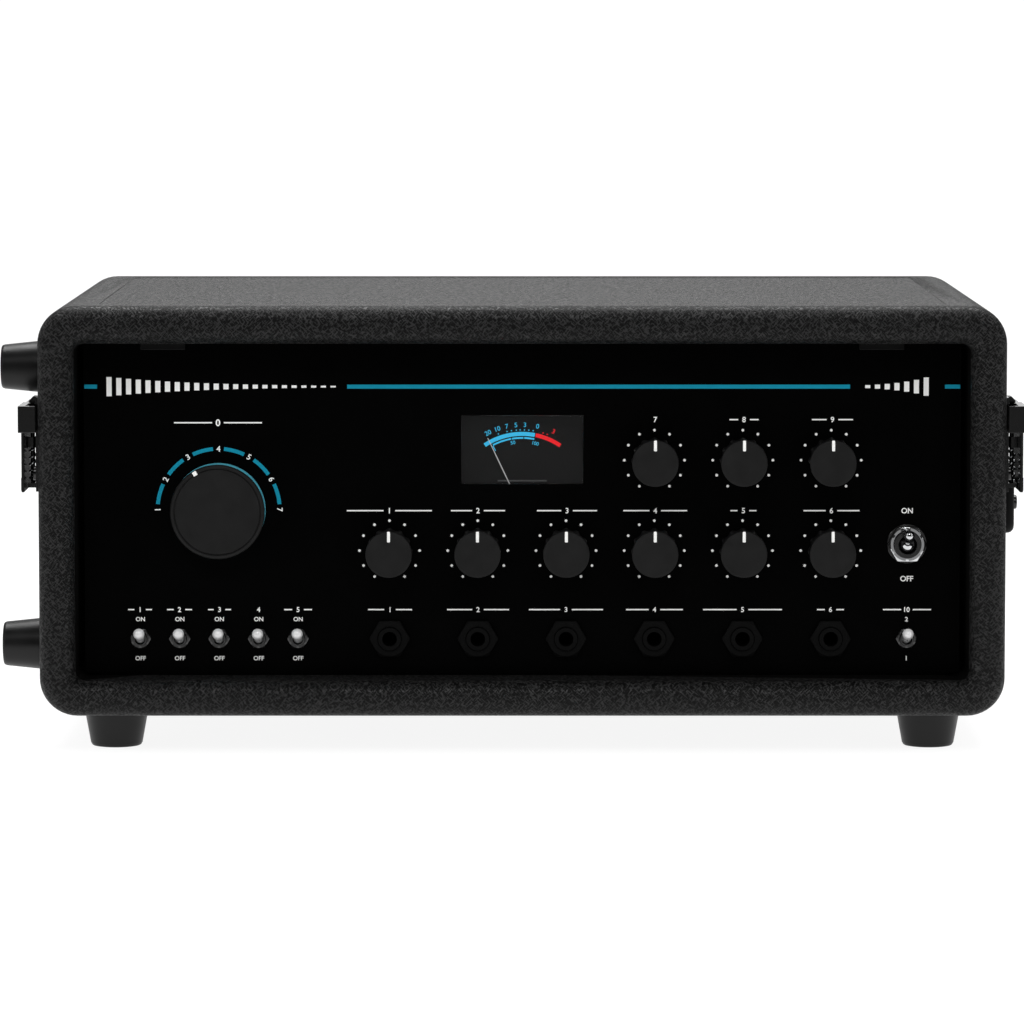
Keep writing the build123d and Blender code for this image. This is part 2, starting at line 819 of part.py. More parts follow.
def make_small_knob(x, h):
    """A fluted knob with a plain front disc, hollow behind, and a groove for its white pointer."""
    front = panel_depth - knob_height
    back = panel_depth - knob_foot_gap
    body = along_depth(knob_radius, front, back, x, h)
    body = chamfer(body.faces().sort_by(Axis.Y)[0].edges(), knob_edge)
    ring = knob_radius - knob_flute_depth + knob_flute_radius
    step = 2 * pi / knob_flute_count
    flutes = [
        along_depth(
            knob_flute_radius, front + knob_cap_thickness, back + past,
            x + ring * cos(step * (i + 0.5)), h + ring * sin(step * (i + 0.5)),
        )
        for i in range(knob_flute_count)
    ]
    body = body - flutes
    body = body - along_depth(knob_hollow_radius, back - knob_hollow_depth, back + past, x, h)
    body = body - along_depth(shaft_radius + shaft_grip, back - shaft_reach, back + past, x, h)
    half = pointer_width / 2
    face_groove = block(
        x - half, x + half, front - past, front + pointer_groove, h + pointer_start, h + knob_radius + past
    )
    side_groove = block(
        x - half, x + half, front - past, back + past,
        h + knob_radius - pointer_groove, h + knob_radius + past,
    )
    body = body - face_groove - side_groove
    return body, knob_shaft(x, h, knob_foot_gap + shaft_reach - shaft_end_gap)


def make_mode_knob():
    """The large flat selector knob with a bevelled edge ring, a shallow dished face and a marker pocket."""
    front = panel_depth - mode_knob_height
    back = panel_depth - knob_foot_gap
    body = along_depth(mode_knob_radius, front, back, mode_x, mode_h)
    body = fillet(body.faces().sort_by(Axis.Y)[0].edges(), mode_knob_edge)
    face_radius = mode_knob_radius - mode_knob_edge - mode_ring_width
    body = body - along_depth(face_radius, front - past, front + mode_ring_depth, mode_x, mode_h)
    groove = along_depth(face_radius, front, front + mode_ring_depth + mode_groove_depth, mode_x, mode_h)
    groove = groove - along_depth(face_radius - mode_groove_width, front - past, back, mode_x, mode_h)
    body = body - groove
    hollow_d = back - mode_hollow_depth
    body = body - along_depth(mode_knob_radius - mode_knob_wall, hollow_d, back + past, mode_x, mode_h)
    boss = along_depth(knob_hollow_radius, hollow_d, back - mode_boss_setback, mode_x, mode_h)
    body = body + boss
    shaft_front = back - mode_shaft_reach
    body = body - along_depth(shaft_radius + shaft_grip, shaft_front, back + past, mode_x, mode_h)
    angle = radians(mode_rest_angle)
    pocket = spot(
        mode_x + mode_marker_radius * sin(angle), front, mode_h + mode_marker_radius * cos(angle)
    ) * Rot(0, mode_rest_angle, 0) * Box(mode_marker_size, 2 * pointer_groove, mode_marker_size)
    body = body - pocket
    shaft = along_depth(
        shaft_radius, shaft_front + mode_shaft_end_gap, panel_back_d + shaft_inside, mode_x, mode_h
    )
    return body, shaft


def control_body(x, h, radius, thickness, bushing, flats):
    """A potentiometer or wafer switch: can, bushing through the panel, nut in front and three lugs."""
    nut_front = panel_depth - pot_nut_thickness
    bushing_front = panel_back_d - pot_bushing_length
    can = along_depth(radius, panel_back_d, panel_back_d + thickness, x, h)
    can = can + along_depth(bushing, bushing_front, panel_back_d, x, h)
    back = panel_back_d + shaft_inside + shaft_clearance
    can = can - along_depth(shaft_radius + shaft_clearance, bushing_front - past, back, x, h)
    lug_d = panel_back_d + pot_lug_setback
    for i in (-1, 0, 1):
        lug_x = x + i * pot_lug_pitch
        can = can + block(
            lug_x - pot_lug_width / 2, lug_x + pot_lug_width / 2,
            lug_d, lug_d + pot_lug_thickness,
            h - radius - pot_lug_length, h - radius + pot_lug_root,
        )
    nut = hex_nut(flats, bushing, nut_front, panel_depth, x, h)
    return can, nut


def make_lever(x, h, rise, drop, neck, neck_length, tip, length, throw, ball):
    """A bat-shaped toggle lever at its upper throw, with the ball and cross pin that it swings on."""
    pivot_d = panel_depth - rise + drop
    profile = make_face(
        Polyline((0, 0), (neck, 0), (neck, neck_length), (tip, length - tip), (0, length - tip), close=True)
    )
    bat = revolve(Plane.XZ * profile, Axis.Z) + Pos(0, 0, length - tip) * Sphere(tip) + Sphere(ball)
    pin_length = 2 * (ball + lever_ball_gap - lever_pin_gap)
    bat = bat + Rot(0, 90, 0) * Cylinder(lever_pin_radius, pin_length)
    return spot(x, pivot_d, h) * Rot(90 - throw, 0, 0) * bat


def toggle_body(x, h, size, bushing, bore, rise, drop, ball):
    """A toggle switch: its box behind the panel and the hollow bushing that the lever swings in."""
    width, height, depth = size
    box = block(
        x - width / 2, x + width / 2, panel_back_d, panel_back_d + depth, h - height / 2, h + height / 2
    )
    neck = along_depth(bushing, panel_depth - rise, panel_back_d, x, h)
    bore_back = panel_depth - rise + drop + ball + lever_ball_gap
    return box + neck - along_depth(bore, panel_depth - rise - past, bore_back, x, h)


def make_controls():
    """Every knob, lever, control body, nut and jack on the panel."""
    for node, (x, h) in KNOBS.items():
        save(node, *make_small_knob(x, h))
    save("mode_knob", *make_mode_knob())
    cans = []
    for x, h in KNOBS.values():
        cans += control_body(x, h, pot_radius, pot_thickness, pot_bushing_radius, pot_nut_flats)
    save("pot_bodies", *cans)
    save(
        "mode_switch_body",
        *control_body(
            mode_x, mode_h, switch_wafer_radius, switch_wafer_thickness, mode_bushing_radius, mode_nut_flats
        ),
    )

    mini_ball = mini_bushing_bore - lever_ball_gap
    power_ball = power_bushing_bore - lever_ball_gap
    bodies = []
    nuts = []
    for node, x in MINI_TOGGLES.items():
        save(
            node,
            make_lever(
                x, jack_row_h, mini_bushing_rise, mini_pivot_drop, mini_neck_radius,
                mini_neck_length, mini_tip_radius, mini_lever_length, mini_throw, mini_ball,
            ),
        )
        bodies.append(
            toggle_body(
                x, jack_row_h, mini_body, mini_bushing_radius, mini_bushing_bore,
                mini_bushing_rise, mini_pivot_drop, mini_ball,
            )
        )
        nuts.append(
            hex_nut(
                mini_nut_flats, mini_bushing_radius, panel_depth - mini_nut_thickness, panel_depth,
                x, jack_row_h,
            )
        )
    save(
        "power_toggle",
        make_lever(
            power_x, power_h, power_bushing_rise, power_pivot_drop, power_neck_radius,
            power_neck_length, power_tip_radius, power_lever_length, power_throw, power_ball,
        ),
    )
    bodies.append(
        toggle_body(
            power_x, power_h, power_body, power_bushing_radius, power_bushing_bore,
            power_bushing_rise, power_pivot_drop, power_ball,
        )
    )
    washer_front = panel_depth - power_washer_thickness
    washer = along_depth(power_washer_radius, washer_front, panel_depth, power_x, power_h)
    washer = washer - along_depth(
        power_bushing_radius, washer_front - past, panel_depth + past, power_x, power_h
    )
    nuts.append(washer)
    nuts.append(
        hex_nut(
            power_nut_flats, power_bushing_radius, washer_front - power_nut_thickness, washer_front,
            power_x, power_h,
        )
    )
    save("switch_bodies", *bodies)
    save("switch_nuts", *nuts)


def make_jacks():
    """Six quarter-inch jack sockets and their hexagon nuts."""
    bodies = []
    nuts = []
    for x in column_x:
        front = panel_depth - jack_bushing_rise
        half = jack_body_width / 2
        body = block(
            x - half, x + half, panel_back_d, panel_back_d + jack_body_length,
            jack_row_h - half, jack_row_h + half,
        )
        body = body + along_depth(jack_bushing_radius, front, panel_back_d, x, jack_row_h)
        body = body - along_depth(jack_bore_radius, front - past, front + jack_bore_length, x, jack_row_h)
        bodies.append(body)
        nuts.append(
            hex_nut(
                jack_nut_flats, jack_bushing_radius, panel_depth - jack_nut_thickness, panel_depth,
                x, jack_row_h,
            )
        )
    save("jack_bodies", *bodies)
    save("jack_nuts", *nuts)


# ---------------------------------------------------------------- level meter
def make_meter():
    """The moving-coil meter behind the panel: housing, dial, window and needle."""
    half = meter_window_width / 2 + meter_housing_margin_x
    low = meter_pivot_h - meter_below_pivot
    high = meter_low_h + meter_window_height + meter_housing_margin_top
    back = panel_back_d + meter_housing_depth
    dial_back_d = meter_dial_d + meter_dial_thickness
    shell = block(-half, half, panel_back_d, back, low, high)
    inner = meter_housing_wall
    shell = shell - block(
        -half + inner, half - inner, panel_back_d - past, dial_back_d, low + inner, high - inner
    )
    pin_front = needle_d - needle_hub_length / 2 - needle_pin_end
    shell = shell + along_depth(
        needle_pin_radius, pin_front, dial_back_d + needle_pin_end, 0, meter_pivot_h
    )
    save("meter_housing", shell)

    gap = shaft_clearance
    dial = block(
        -half + inner + gap, half - inner - gap, meter_dial_d, dial_back_d,
        low + inner + gap, high - inner - gap,
    )
    dial = dial - along_depth(
        needle_hub_radius + dial_hole_clearance, meter_dial_d - past, dial_back_d + past, 0, meter_pivot_h
    )
    bar_low = meter_low_h + dial_bar_rise - dial_bar_height / 2
    bar = block(
        -dial_bar_width / 2, dial_bar_width / 2, meter_dial_d - dial_bar_thickness, meter_dial_d,
        bar_low, bar_low + dial_bar_height,
    )
    save("meter_dial", dial + bar)

    fit = hole_clearance
    glass_front = panel_depth + meter_glass_recess
    glass = block(
        -meter_window_width / 2 + fit, meter_window_width / 2 - fit,
        glass_front, glass_front + meter_glass_thickness,
        meter_low_h + fit, meter_low_h + meter_window_height - fit,
    )
    save("meter_window", glass)

    hub = Rot(90, 0, 0) * Cylinder(needle_hub_radius, needle_hub_length)
    blade = Pos(0, 0, needle_length / 2) * Box(needle_width, needle_thickness, needle_length)
    needle = hub + blade
    needle = needle - Rot(90, 0, 0) * Cylinder(needle_pin_radius + shaft_clearance, needle_hub_length + past)
    save("meter_needle", spot(0, needle_d, meter_pivot_h) * Rot(0, needle_rest_angle, 0) * needle)


# ---------------------------------------------------------------- tape deck
def tape_ring(grow):
    """The rounded rectangle that the tape runs round, seen from above, grown outwards by grow."""
    width = tape_right_x - tape_left_x + 2 * grow
    depth = tape_rear_d - tape_run_d + 2 * grow
    return RectangleRounded(width, depth, tape_corner_radius + grow)


def make_tape_deck():
    """The deck plate and everything that stands on it or hangs from it."""
    half = opening_half_width - deck_side_gap
    rear = rear_panel_front_d - deck_rear_gap
    plate = block(-half, half, deck_front_d, rear, deck_low_h, deck_top_h)
    bore_low = deck_low_h - bearing_length - past
    bore = upright(capstan_radius + shaft_clearance, bore_low, deck_top_h + past, capstan_x, capstan_d)
    bearing = upright(bearing_radius, deck_low_h - bearing_length, deck_low_h, capstan_x, capstan_d)
    pivot_top = tape_low_h + pinch_height + pinch_pivot_over
    pivot = upright(pinch_pivot_radius, deck_top_h, pivot_top, pinch_pivot_x, pinch_pivot_d)
    posts = [
        upright(post_radius, tray_top_h, deck_low_h, sx * (half - post_inset), d)
        for sx in (-1, 1)
        for d in (deck_front_d + post_inset, rear - post_inset)
    ]
    save("deck_plate", plate - bore, bearing - bore, pivot, *posts)

    mid_x = (tape_left_x + tape_right_x) / 2
    mid_d = (tape_run_d + tape_rear_d) / 2
    loop = extrude(tape_ring(tape_thickness / 2), tape_width)
    loop = loop - extrude(tape_ring(-tape_thickness / 2), tape_width)
    save("tape_loop", spot(mid_x, mid_d, tape_low_h) * loop)

    inset = tape_corner_radius
    guide_radius = tape_corner_radius - tape_thickness / 2 - tape_gap
    corners = [
        (tape_left_x + inset, tape_run_d + inset),
        (tape_right_x - inset, tape_run_d + inset),
        (tape_right_x - inset, tape_rear_d - inset),
    ]
    guides = []
    for x, d in corners:
        top = tape_low_h + tape_width + guide_flange_gap
        guide = upright(guide_radius, deck_top_h, top + guide_flange_thickness, x, d)
        guide = guide + upright(guide_flange_radius, top, top + guide_flange_thickness, x, d)
        low = tape_low_h - guide_flange_gap
        guide = guide + upright(guide_flange_radius, low - guide_flange_thickness, low, x, d)
        guides.append(guide)
    save("tape_guides", *guides)

    heads = []
    for x in head_positions:
        face = tape_run_d + tape_thickness / 2 + tape_gap
        nose = upright(head_nose_radius, deck_top_h, deck_top_h + head_height, x, face + head_nose_radius)
        box = block(
            x - head_width / 2, x + head_width / 2, face, face + head_length,
            deck_top_h, deck_top_h + head_height,
        )
        tail = block(
            x - head_width / 2, x + head_width / 2, face + head_shoulder, face + head_length,
            deck_top_h, deck_top_h + head_height,
        )
        heads.append((nose & box) + tail)
    save("tape_heads", *heads)

    outer = block(bin_left_x, bin_right_x, bin_front_d, bin_rear_d, deck_top_h, deck_top_h + bin_height)
    inner = block(
        bin_left_x + bin_wall, bin_right_x - bin_wall, bin_front_d + bin_wall, bin_rear_d - bin_wall,
        deck_top_h + bin_floor, deck_top_h + bin_height + past,
    )
    slot_low = tape_low_h - bin_slot_below_tape
    right_slot = block(
        bin_right_x - bin_wall - past, bin_right_x + past,
        tape_rear_d - bin_slot / 2, tape_rear_d + bin_slot / 2, slot_low, deck_top_h + bin_height + past,
    )
    front_slot = block(
        tape_left_x - bin_slot / 2, tape_left_x + bin_slot / 2,
        bin_front_d - past, bin_front_d + bin_wall + past, slot_low, deck_top_h + bin_height + past,
    )
    save("tape_bin", outer - inner - right_slot - front_slot)
    lap = bin_cover_overlap
    cover = block(
        bin_left_x - lap, bin_right_x + lap, bin_front_d - lap, bin_rear_d + lap,
        deck_top_h + bin_height, deck_top_h + bin_height + bin_cover_thickness,
    )
    save("tape_bin_cover", fillet(cover.edges().filter_by(Axis.Z), bin_cover_round))


def make_drive():
    """Capstan with flywheel, pinch roller on its arm, motor, motor pulley and belt."""
    low = flywheel_low_h
    wheel = upright(flywheel_radius, low, low + flywheel_thickness, capstan_x, capstan_d)
    wheel = chamfer(wheel.edges().filter_by(GeomType.CIRCLE), flywheel_edge)
    dish = upright(flywheel_dish_radius, low - past, low + flywheel_dish_depth, capstan_x, capstan_d)
    dish = dish - upright(flywheel_hub_radius, low - 2 * past, low + flywheel_thickness, capstan_x, capstan_d)
    shaft = upright(capstan_radius, low, deck_top_h + capstan_rise, capstan_x, capstan_d)
    save("capstan", wheel - dish + shaft)

    roller_low = tape_low_h + (tape_width - pinch_height) / 2
    roller_top = roller_low + pinch_height
    roller = upright(pinch_radius, roller_low, roller_top, capstan_x, pinch_d)
    roller = roller - upright(
        pinch_axle_radius + shaft_clearance, roller_low - past, roller_top + past, capstan_x, pinch_d
    )
    save("pinch_roller", roller)

    arm_low = roller_top + pinch_arm_gap
    arm_top = arm_low + pinch_arm_thickness
    run_x = pinch_pivot_x - capstan_x
    run_d = pinch_pivot_d - pinch_d
    length = (run_x**2 + run_d**2) ** 0.5
    profile = SlotCenterToCenter(length, pinch_arm_width)
    arm = spot((capstan_x + pinch_pivot_x) / 2, (pinch_d + pinch_pivot_d) / 2, arm_low) * Plane(
        origin=(0, 0, 0), x_dir=(run_x, run_d, 0), z_dir=(0, 0, 1)
    ).location * extrude(profile, pinch_arm_thickness)
    arm = arm + upright(pinch_axle_radius, roller_low - pinch_axle_end, arm_low, capstan_x, pinch_d)
    collar_low = deck_top_h + pinch_collar_lift
    collar_radius = pinch_pivot_radius + pinch_collar_wall
    arm = arm + upright(collar_radius, collar_low, arm_top, pinch_pivot_x, pinch_pivot_d)
    arm = arm - upright(
        pinch_pivot_radius + shaft_clearance, collar_low - past, arm_top + past, pinch_pivot_x, pinch_pivot_d
    )
    save("pinch_arm", arm)

    can_low = deck_low_h - motor_height
    can = upright(motor_radius, can_low, deck_low_h, motor_x, motor_d)
    can = fillet(can.faces().sort_by(Axis.Z)[0].edges(), motor_round)
    bush_low = can_low - motor_bush_length
    can = can + upright(motor_bush_radius, bush_low, can_low, motor_x, motor_d)
    bore = motor_shaft_radius + shaft_clearance
    can = can - upright(bore, bush_low - past, can_low + motor_bore_depth, motor_x, motor_d)
    save("motor_can", can)
    pulley_low = belt_low_h - pulley_margin
    pulley = upright(pulley_radius, pulley_low, pulley_low + belt_width + 2 * pulley_margin, motor_x, motor_d)
    pulley = pulley + upright(motor_shaft_radius, pulley_low, can_low + motor_shaft_depth, motor_x, motor_d)
    save("motor_pulley", pulley)

    def hull_face(grow):
        """Two circles joined by their outer tangents, as the belt lies round them."""
        big = flywheel_radius + belt_gap + grow
        small = pulley_radius + belt_gap + grow
        span_x = motor_x - capstan_x
        span_d = motor_d - capstan_d
        far = (span_x**2 + span_d**2) ** 0.5
        ux, ud = span_x / far, span_d / far
        lean = (big - small) / far
        side = (1 - lean**2) ** 0.5
        corners = []
        for s in (1, -1):
            nx, nd = ux * lean - s * ud * side, ud * lean + s * ux * side
            corners.append(((nx * big, nd * big), (span_x + nx * small, span_d + nd * small)))
        quad = make_face(
            Polyline(corners[0][0], corners[0][1], corners[1][1], corners[1][0], close=True)
        )
        return quad + Circle(big) + Pos(span_x, span_d) * Circle(small)

    belt = extrude(hull_face(belt_thickness), belt_width) - extrude(hull_face(0), belt_width)
    save("drive_belt", spot(capstan_x, capstan_d, belt_low_h) * belt)


# ---------------------------------------------------------------- electronics
def make_electronics():
    """Mains transformer, circuit board, spring reverb tank and mains inlet."""
    low = tray_top_h
    ring = upright(transformer_radius, low, low + transformer_height, transformer_x, transformer_d)
    ring = fillet(ring.edges().filter_by(GeomType.CIRCLE), transformer_round)
    top = low + transformer_height
    ring = ring - upright(transformer_bore, low - past, top + past, transformer_x, transformer_d)
    plate_top = top + transformer_plate_thickness
    cap = upright(transformer_plate_radius, top, plate_top, transformer_x, transformer_d)
    cap = cap + upright(transformer_bolt_radius, low, top, transformer_x, transformer_d)
    save("transformer", ring, cap)

    board_low = tray_top_h + board_lift
    top = board_low + board_thickness
    board = block(board_left_x, board_right_x, board_front_d, board_rear_d, board_low, top)
    inset = board_standoff_inset
    pieces = []
    for x in (board_left_x + inset, board_right_x - inset):
        for d in (board_front_d + inset, board_rear_d - inset):
            pieces.append(upright(board_standoff_radius, tray_top_h, board_low, x, d))
    capacitor_d = board_rear_d - capacitor_inset_d
    for i in range(capacitor_count):
        x = board_left_x + capacitor_inset_x + capacitor_pitch * i
        pieces.append(upright(capacitor_radius, top, top + capacitor_height, x, capacitor_d))
    chip_d = board_front_d + chip_inset_d
    for i in range(chip_count):
        x = board_left_x + chip_inset_x + chip_pitch * i
        pieces.append(block(x, x + chip_length, chip_d, chip_d + chip_width, top, top + chip_height))
    save("circuit_board", board, *pieces)

    tank = block(tank_left_x, tank_right_x, tank_front_d, tank_rear_d, tray_top_h, tray_top_h + tank_height)
    wall_in = tank_wall
    tank = tank - block(
        tank_left_x + wall_in, tank_right_x - wall_in, tank_front_d + wall_in, tank_rear_d - wall_in,
        tray_top_h + wall_in, tray_top_h + tank_height + past,
    )
    save("reverb_tank", tank)
    springs = []
    mid_h = tray_top_h + tank_height / 2
    for i in range(spring_count):
        d = tank_front_d + (tank_rear_d - tank_front_d) * (i + 1) / (spring_count + 1)
        tube = sideways(spring_radius, tank_left_x + tank_wall, tank_right_x - tank_wall, d, mid_h)
        hollow = sideways(spring_radius - 2 * spring_wire_radius, tank_left_x, tank_right_x, d, mid_h)
        springs.append(tube - hollow)
    save("reverb_springs", *springs)

    back = rear_panel_front_d + rear_panel_thickness
    outer_d = back + inlet_flange_thickness
    body = block(
        inlet_x - inlet_width / 2, inlet_x + inlet_width / 2, outer_d - inlet_body_depth, outer_d,
        inlet_h - inlet_height / 2, inlet_h + inlet_height / 2,
    )
    flange = block(
        inlet_x - inlet_flange_width / 2, inlet_x + inlet_flange_width / 2, back, outer_d,
        inlet_h - inlet_flange_height / 2, inlet_h + inlet_flange_height / 2,
    )
    flange = fillet(flange.edges().filter_by(Axis.Y), inlet_flange_round)
    floor_d = outer_d - inlet_cavity_depth
    cavity = block(
        inlet_x - inlet_cavity_width / 2, inlet_x + inlet_cavity_width / 2, floor_d, outer_d + past,
        inlet_h - inlet_cavity_height / 2, inlet_h + inlet_cavity_height / 2,
    )
    inlet = body + flange - cavity
    pins = []
    for i in (-1, 0, 1):
        x = inlet_x + i * inlet_pin_pitch
        h = inlet_h + (inlet_pin_stagger if i == 0 else -inlet_pin_stagger)
        pins.append(
            block(
                x - inlet_pin_thickness / 2, x + inlet_pin_thickness / 2, floor_d, floor_d + inlet_pin_length,
                h - inlet_pin_width / 2, h + inlet_pin_width / 2,
            )
        )
    save("mains_inlet", inlet, *pins)


# ---------------------------------------------------------------- side hooks
def latch_base(side):
    """A hook's plate on the case side with its two ears and the pin between them, and its coil spring."""

    def out(u):
        return side * (side_x + u)

    high = latch_low_h + latch_height
    plate = block(
        out(0), out(latch_plate_thickness), latch_front_d, latch_front_d + latch_length, latch_low_h, high
    )
    for d, h in latch_screw_places():
        hole_end = out(latch_plate_thickness + past)
        plate = plate - sideways(screw_shank_radius + screw_clearance, out(-past), hole_end, d, h)
    ear_d0 = latch_pin_d - latch_ear_length / 2
    ear_d1 = latch_pin_d + latch_ear_length / 2
    top_ear = block(out(0), out(latch_top_ear_out), ear_d0, ear_d1, high - latch_top_ear_height, high)
    outer_top = top_ear.edges().filter_by(Axis.Y).sort_by(lambda e: side * e.center().X + e.center().Z)[-1]
    top_ear = chamfer(outer_top, latch_top_ear_chamfer)
    ear_low = latch_low_h + latch_low_ear_lift
    low_ear_out = latch_skin_out - latch_skin_thickness - latch_gap
    outline = Polyline(
        (out(0), ear_d0), (out(low_ear_out), ear_d0), (out(low_ear_out), latch_pin_d + latch_pin_radius),
        (out(low_ear_out - latch_low_ear_relief), ear_d1), (out(0), ear_d1), close=True,
    )
    low_ear = spot(0, 0, ear_low) * extrude(make_face(outline), latch_ear_thickness, dir=(0, 0, 1))
    pin = upright(latch_pin_radius, ear_low, high - latch_top_ear_height, out(latch_pin_out), latch_pin_d)
    spring_low = ear_low + latch_ear_thickness
    spring = upright(
        latch_spring_radius, spring_low, latch_middle_knuckle_h - latch_gap, out(latch_pin_out), latch_pin_d
    )
    spring = spring - upright(
        latch_spring_bore, spring_low - past, latch_middle_knuckle_h, out(latch_pin_out), latch_pin_d
    )
    return plate + top_ear + low_ear + pin, spring


def latch_hook(side):
    """The sprung hook that turns on the pin: a finger skin, two knuckles and a thick arm with its claw."""

    def out(u):
        return side * (side_x + u)

    top = latch_low_h + latch_height - latch_top_ear_height - latch_gap
    skin_in = latch_skin_out - latch_skin_thickness
    rear_d = latch_front_d + latch_length
    claw_back_d = latch_claw_d + latch_claw_thickness
    skin = block(out(skin_in), out(latch_skin_out), claw_back_d, rear_d, latch_low_h, top)
    flare = block(
        out(skin_in), out(latch_skin_out + latch_flare), rear_d - latch_flare_length, rear_d,
        latch_low_h, latch_low_h + latch_flare_height,
    )
    arm_in = latch_arm_out - latch_arm_thickness
    arm_low_h = top - latch_arm_height
    arm_rear_d = latch_pin_d + latch_arm_behind_pin
    arm = block(out(arm_in), out(latch_arm_out), latch_claw_d, arm_rear_d, arm_low_h, top)
    claw = block(out(latch_claw_gap), out(latch_arm_out), latch_claw_d, claw_back_d, arm_low_h, top)
    hook = skin + flare + arm + claw
    for h0 in (latch_middle_knuckle_h, top - latch_knuckle_length):
        h1 = h0 + latch_knuckle_length
        hook = hook + upright(latch_knuckle_radius, h0, h1, out(latch_pin_out), latch_pin_d)
        hook = hook + block(
            out(latch_pin_out), out(latch_skin_out), latch_pin_d - latch_knuckle_radius,
            latch_pin_d + latch_knuckle_radius, h0, h1,
        )
    bore_radius = latch_pin_radius + shaft_clearance
    bore = upright(bore_radius, latch_low_h - past, top + past, out(latch_pin_out), latch_pin_d)
    return hook - bore


def main():
    """Builds every piece and writes its STEP file."""
    os.makedirs("parts", exist_ok=True)
    save("case_shell", make_case_shell())
    save("top_hatch", make_top_hatch(), hinge_half(moving=True))
    save("hatch_hinge", hinge_half(moving=False))
    save("hatch_tabs", *make_hatch_tabs())
    make_feet()
    save("case_screws", *[move * wood_screw() for move in screw_moves()])
    make_handle()
    save("front_panel", make_front_panel())
    save("chassis_tray", make_chassis_tray())
    save("rear_panel", make_rear_panel())
    save("chassis_bolts", *make_chassis_bolts())
    make_controls()
    make_jacks()
    make_meter()
    make_tape_deck()
    make_drive()
    make_electronics()
    save("latch_bases", *latch_base(-1), *latch_base(1))
    save("left_latch_hook", latch_hook(-1))
    save("right_latch_hook", latch_hook(1))


main()
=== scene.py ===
"""Dresses the tape echo unit: surfaces, finishes, printed scales, studio and camera.

Shapes are worked out in the case's own millimetres: x from the middle of the case, d as depth behind
the front rim, h as height above the underside of the case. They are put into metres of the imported
model's frame when a piece is made.
"""
import json
import logging
from contextlib import contextmanager
from dataclasses import dataclass, field
from enum import Enum
from functools import lru_cache
from math import cos, pi, radians, sin
from typing import Callable, Iterator, Optional, Sequence

import bmesh
import bpy
import numpy as np
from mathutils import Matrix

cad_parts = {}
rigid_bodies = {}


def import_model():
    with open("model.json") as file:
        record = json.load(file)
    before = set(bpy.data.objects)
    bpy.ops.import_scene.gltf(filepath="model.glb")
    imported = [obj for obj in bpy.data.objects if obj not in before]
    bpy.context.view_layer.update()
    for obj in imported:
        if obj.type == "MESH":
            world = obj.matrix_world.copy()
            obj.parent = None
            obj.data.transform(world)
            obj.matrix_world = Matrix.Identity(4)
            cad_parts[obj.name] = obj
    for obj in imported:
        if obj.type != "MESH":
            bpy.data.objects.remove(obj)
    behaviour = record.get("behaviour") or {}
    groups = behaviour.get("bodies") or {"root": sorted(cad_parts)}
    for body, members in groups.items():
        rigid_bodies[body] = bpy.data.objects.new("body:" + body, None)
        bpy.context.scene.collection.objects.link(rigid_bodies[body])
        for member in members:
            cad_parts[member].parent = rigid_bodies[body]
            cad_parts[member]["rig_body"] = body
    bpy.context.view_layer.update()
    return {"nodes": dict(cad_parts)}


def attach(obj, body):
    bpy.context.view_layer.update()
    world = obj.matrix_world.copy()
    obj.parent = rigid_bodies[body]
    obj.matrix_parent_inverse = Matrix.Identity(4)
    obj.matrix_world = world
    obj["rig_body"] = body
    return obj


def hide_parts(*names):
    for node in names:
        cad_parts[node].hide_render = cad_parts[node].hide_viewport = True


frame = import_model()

CASE_ORIGIN = np.array((2.25, -142.5, 17.0))
MM = 0.001
log = logging.getLogger("tape_echo")


# ------------------------------------------------------------------------------------ surfaces
class Axis(Enum):
    """The three directions of the case."""

    X = (1, 2)
    D = (2, 0)
    H = (0, 1)


@dataclass(frozen=True)
class Surface:
    """Points in millimetres and the quads on them, facing outwards."""

    points: np.ndarray
    quads: np.ndarray

    def moved(self, x: float = 0.0, d: float = 0.0, h: float = 0.0) -> "Surface":
        """The same surface shifted by x, d and h."""
        return Surface(self.points + np.array((x, d, h)), self.quads)

    def turned(self, axis: Axis, degrees: float) -> "Surface":
        """The same surface turned about an axis through the origin by the right-hand rule."""
        i, j = axis.value
        c, s = cos(radians(degrees)), sin(radians(degrees))
        points = self.points.copy()
        points[:, i] = c * self.points[:, i] - s * self.points[:, j]
        points[:, j] = s * self.points[:, i] + c * self.points[:, j]
        return Surface(points, self.quads)

    def to_front(self) -> "Surface":
        """Local z turned to point at the viewer in front, local y up."""
        return self.turned(Axis.X, 90)

    def outward(self) -> "Surface":
        """The closed form with its faces pointing out: flipped where the summed signed volume is negative."""
        a, b, c, d = (self.points[self.quads[:, k]] for k in range(4))
        volume = (np.cross(b, c) * a).sum() + (np.cross(c, d) * a).sum()
        return self if volume >= 0 else Surface(self.points, self.quads[:, ::-1])


def joined(surfaces: Sequence[Surface]) -> Surface:
    """Several surfaces as one, each set of quads shifted past the points before it."""
    starts = np.cumsum([0] + [len(s.points) for s in surfaces[:-1]])
    points = np.concatenate([s.points for s in surfaces])
    return Surface(points, np.concatenate([s.quads + k for s, k in zip(surfaces, starts)]))


def grid_quads(rows: int, columns: int, close_rows: bool, close_columns: bool) -> np.ndarray:
    """Quads between neighbouring points of a grid stored row by row.

    Args:
        rows: number of rows of points.
        columns: number of points in a row.
        close_rows: join the last row to the first.
        close_columns: join the last point of a row to its first.

    Returns:
        An array of four point numbers for each quad.
    """
    i = np.arange(rows if close_rows else rows - 1)[:, None]
    j = np.arange(columns if close_columns else columns - 1)[None, :]
    i2, j2 = (i + 1) % rows, (j + 1) % columns
    corners = (i * columns + j, i2 * columns + j, i2 * columns + j2, i * columns + j2)
    return np.stack(np.broadcast_arrays(*corners), axis=-1).reshape(-1, 4)


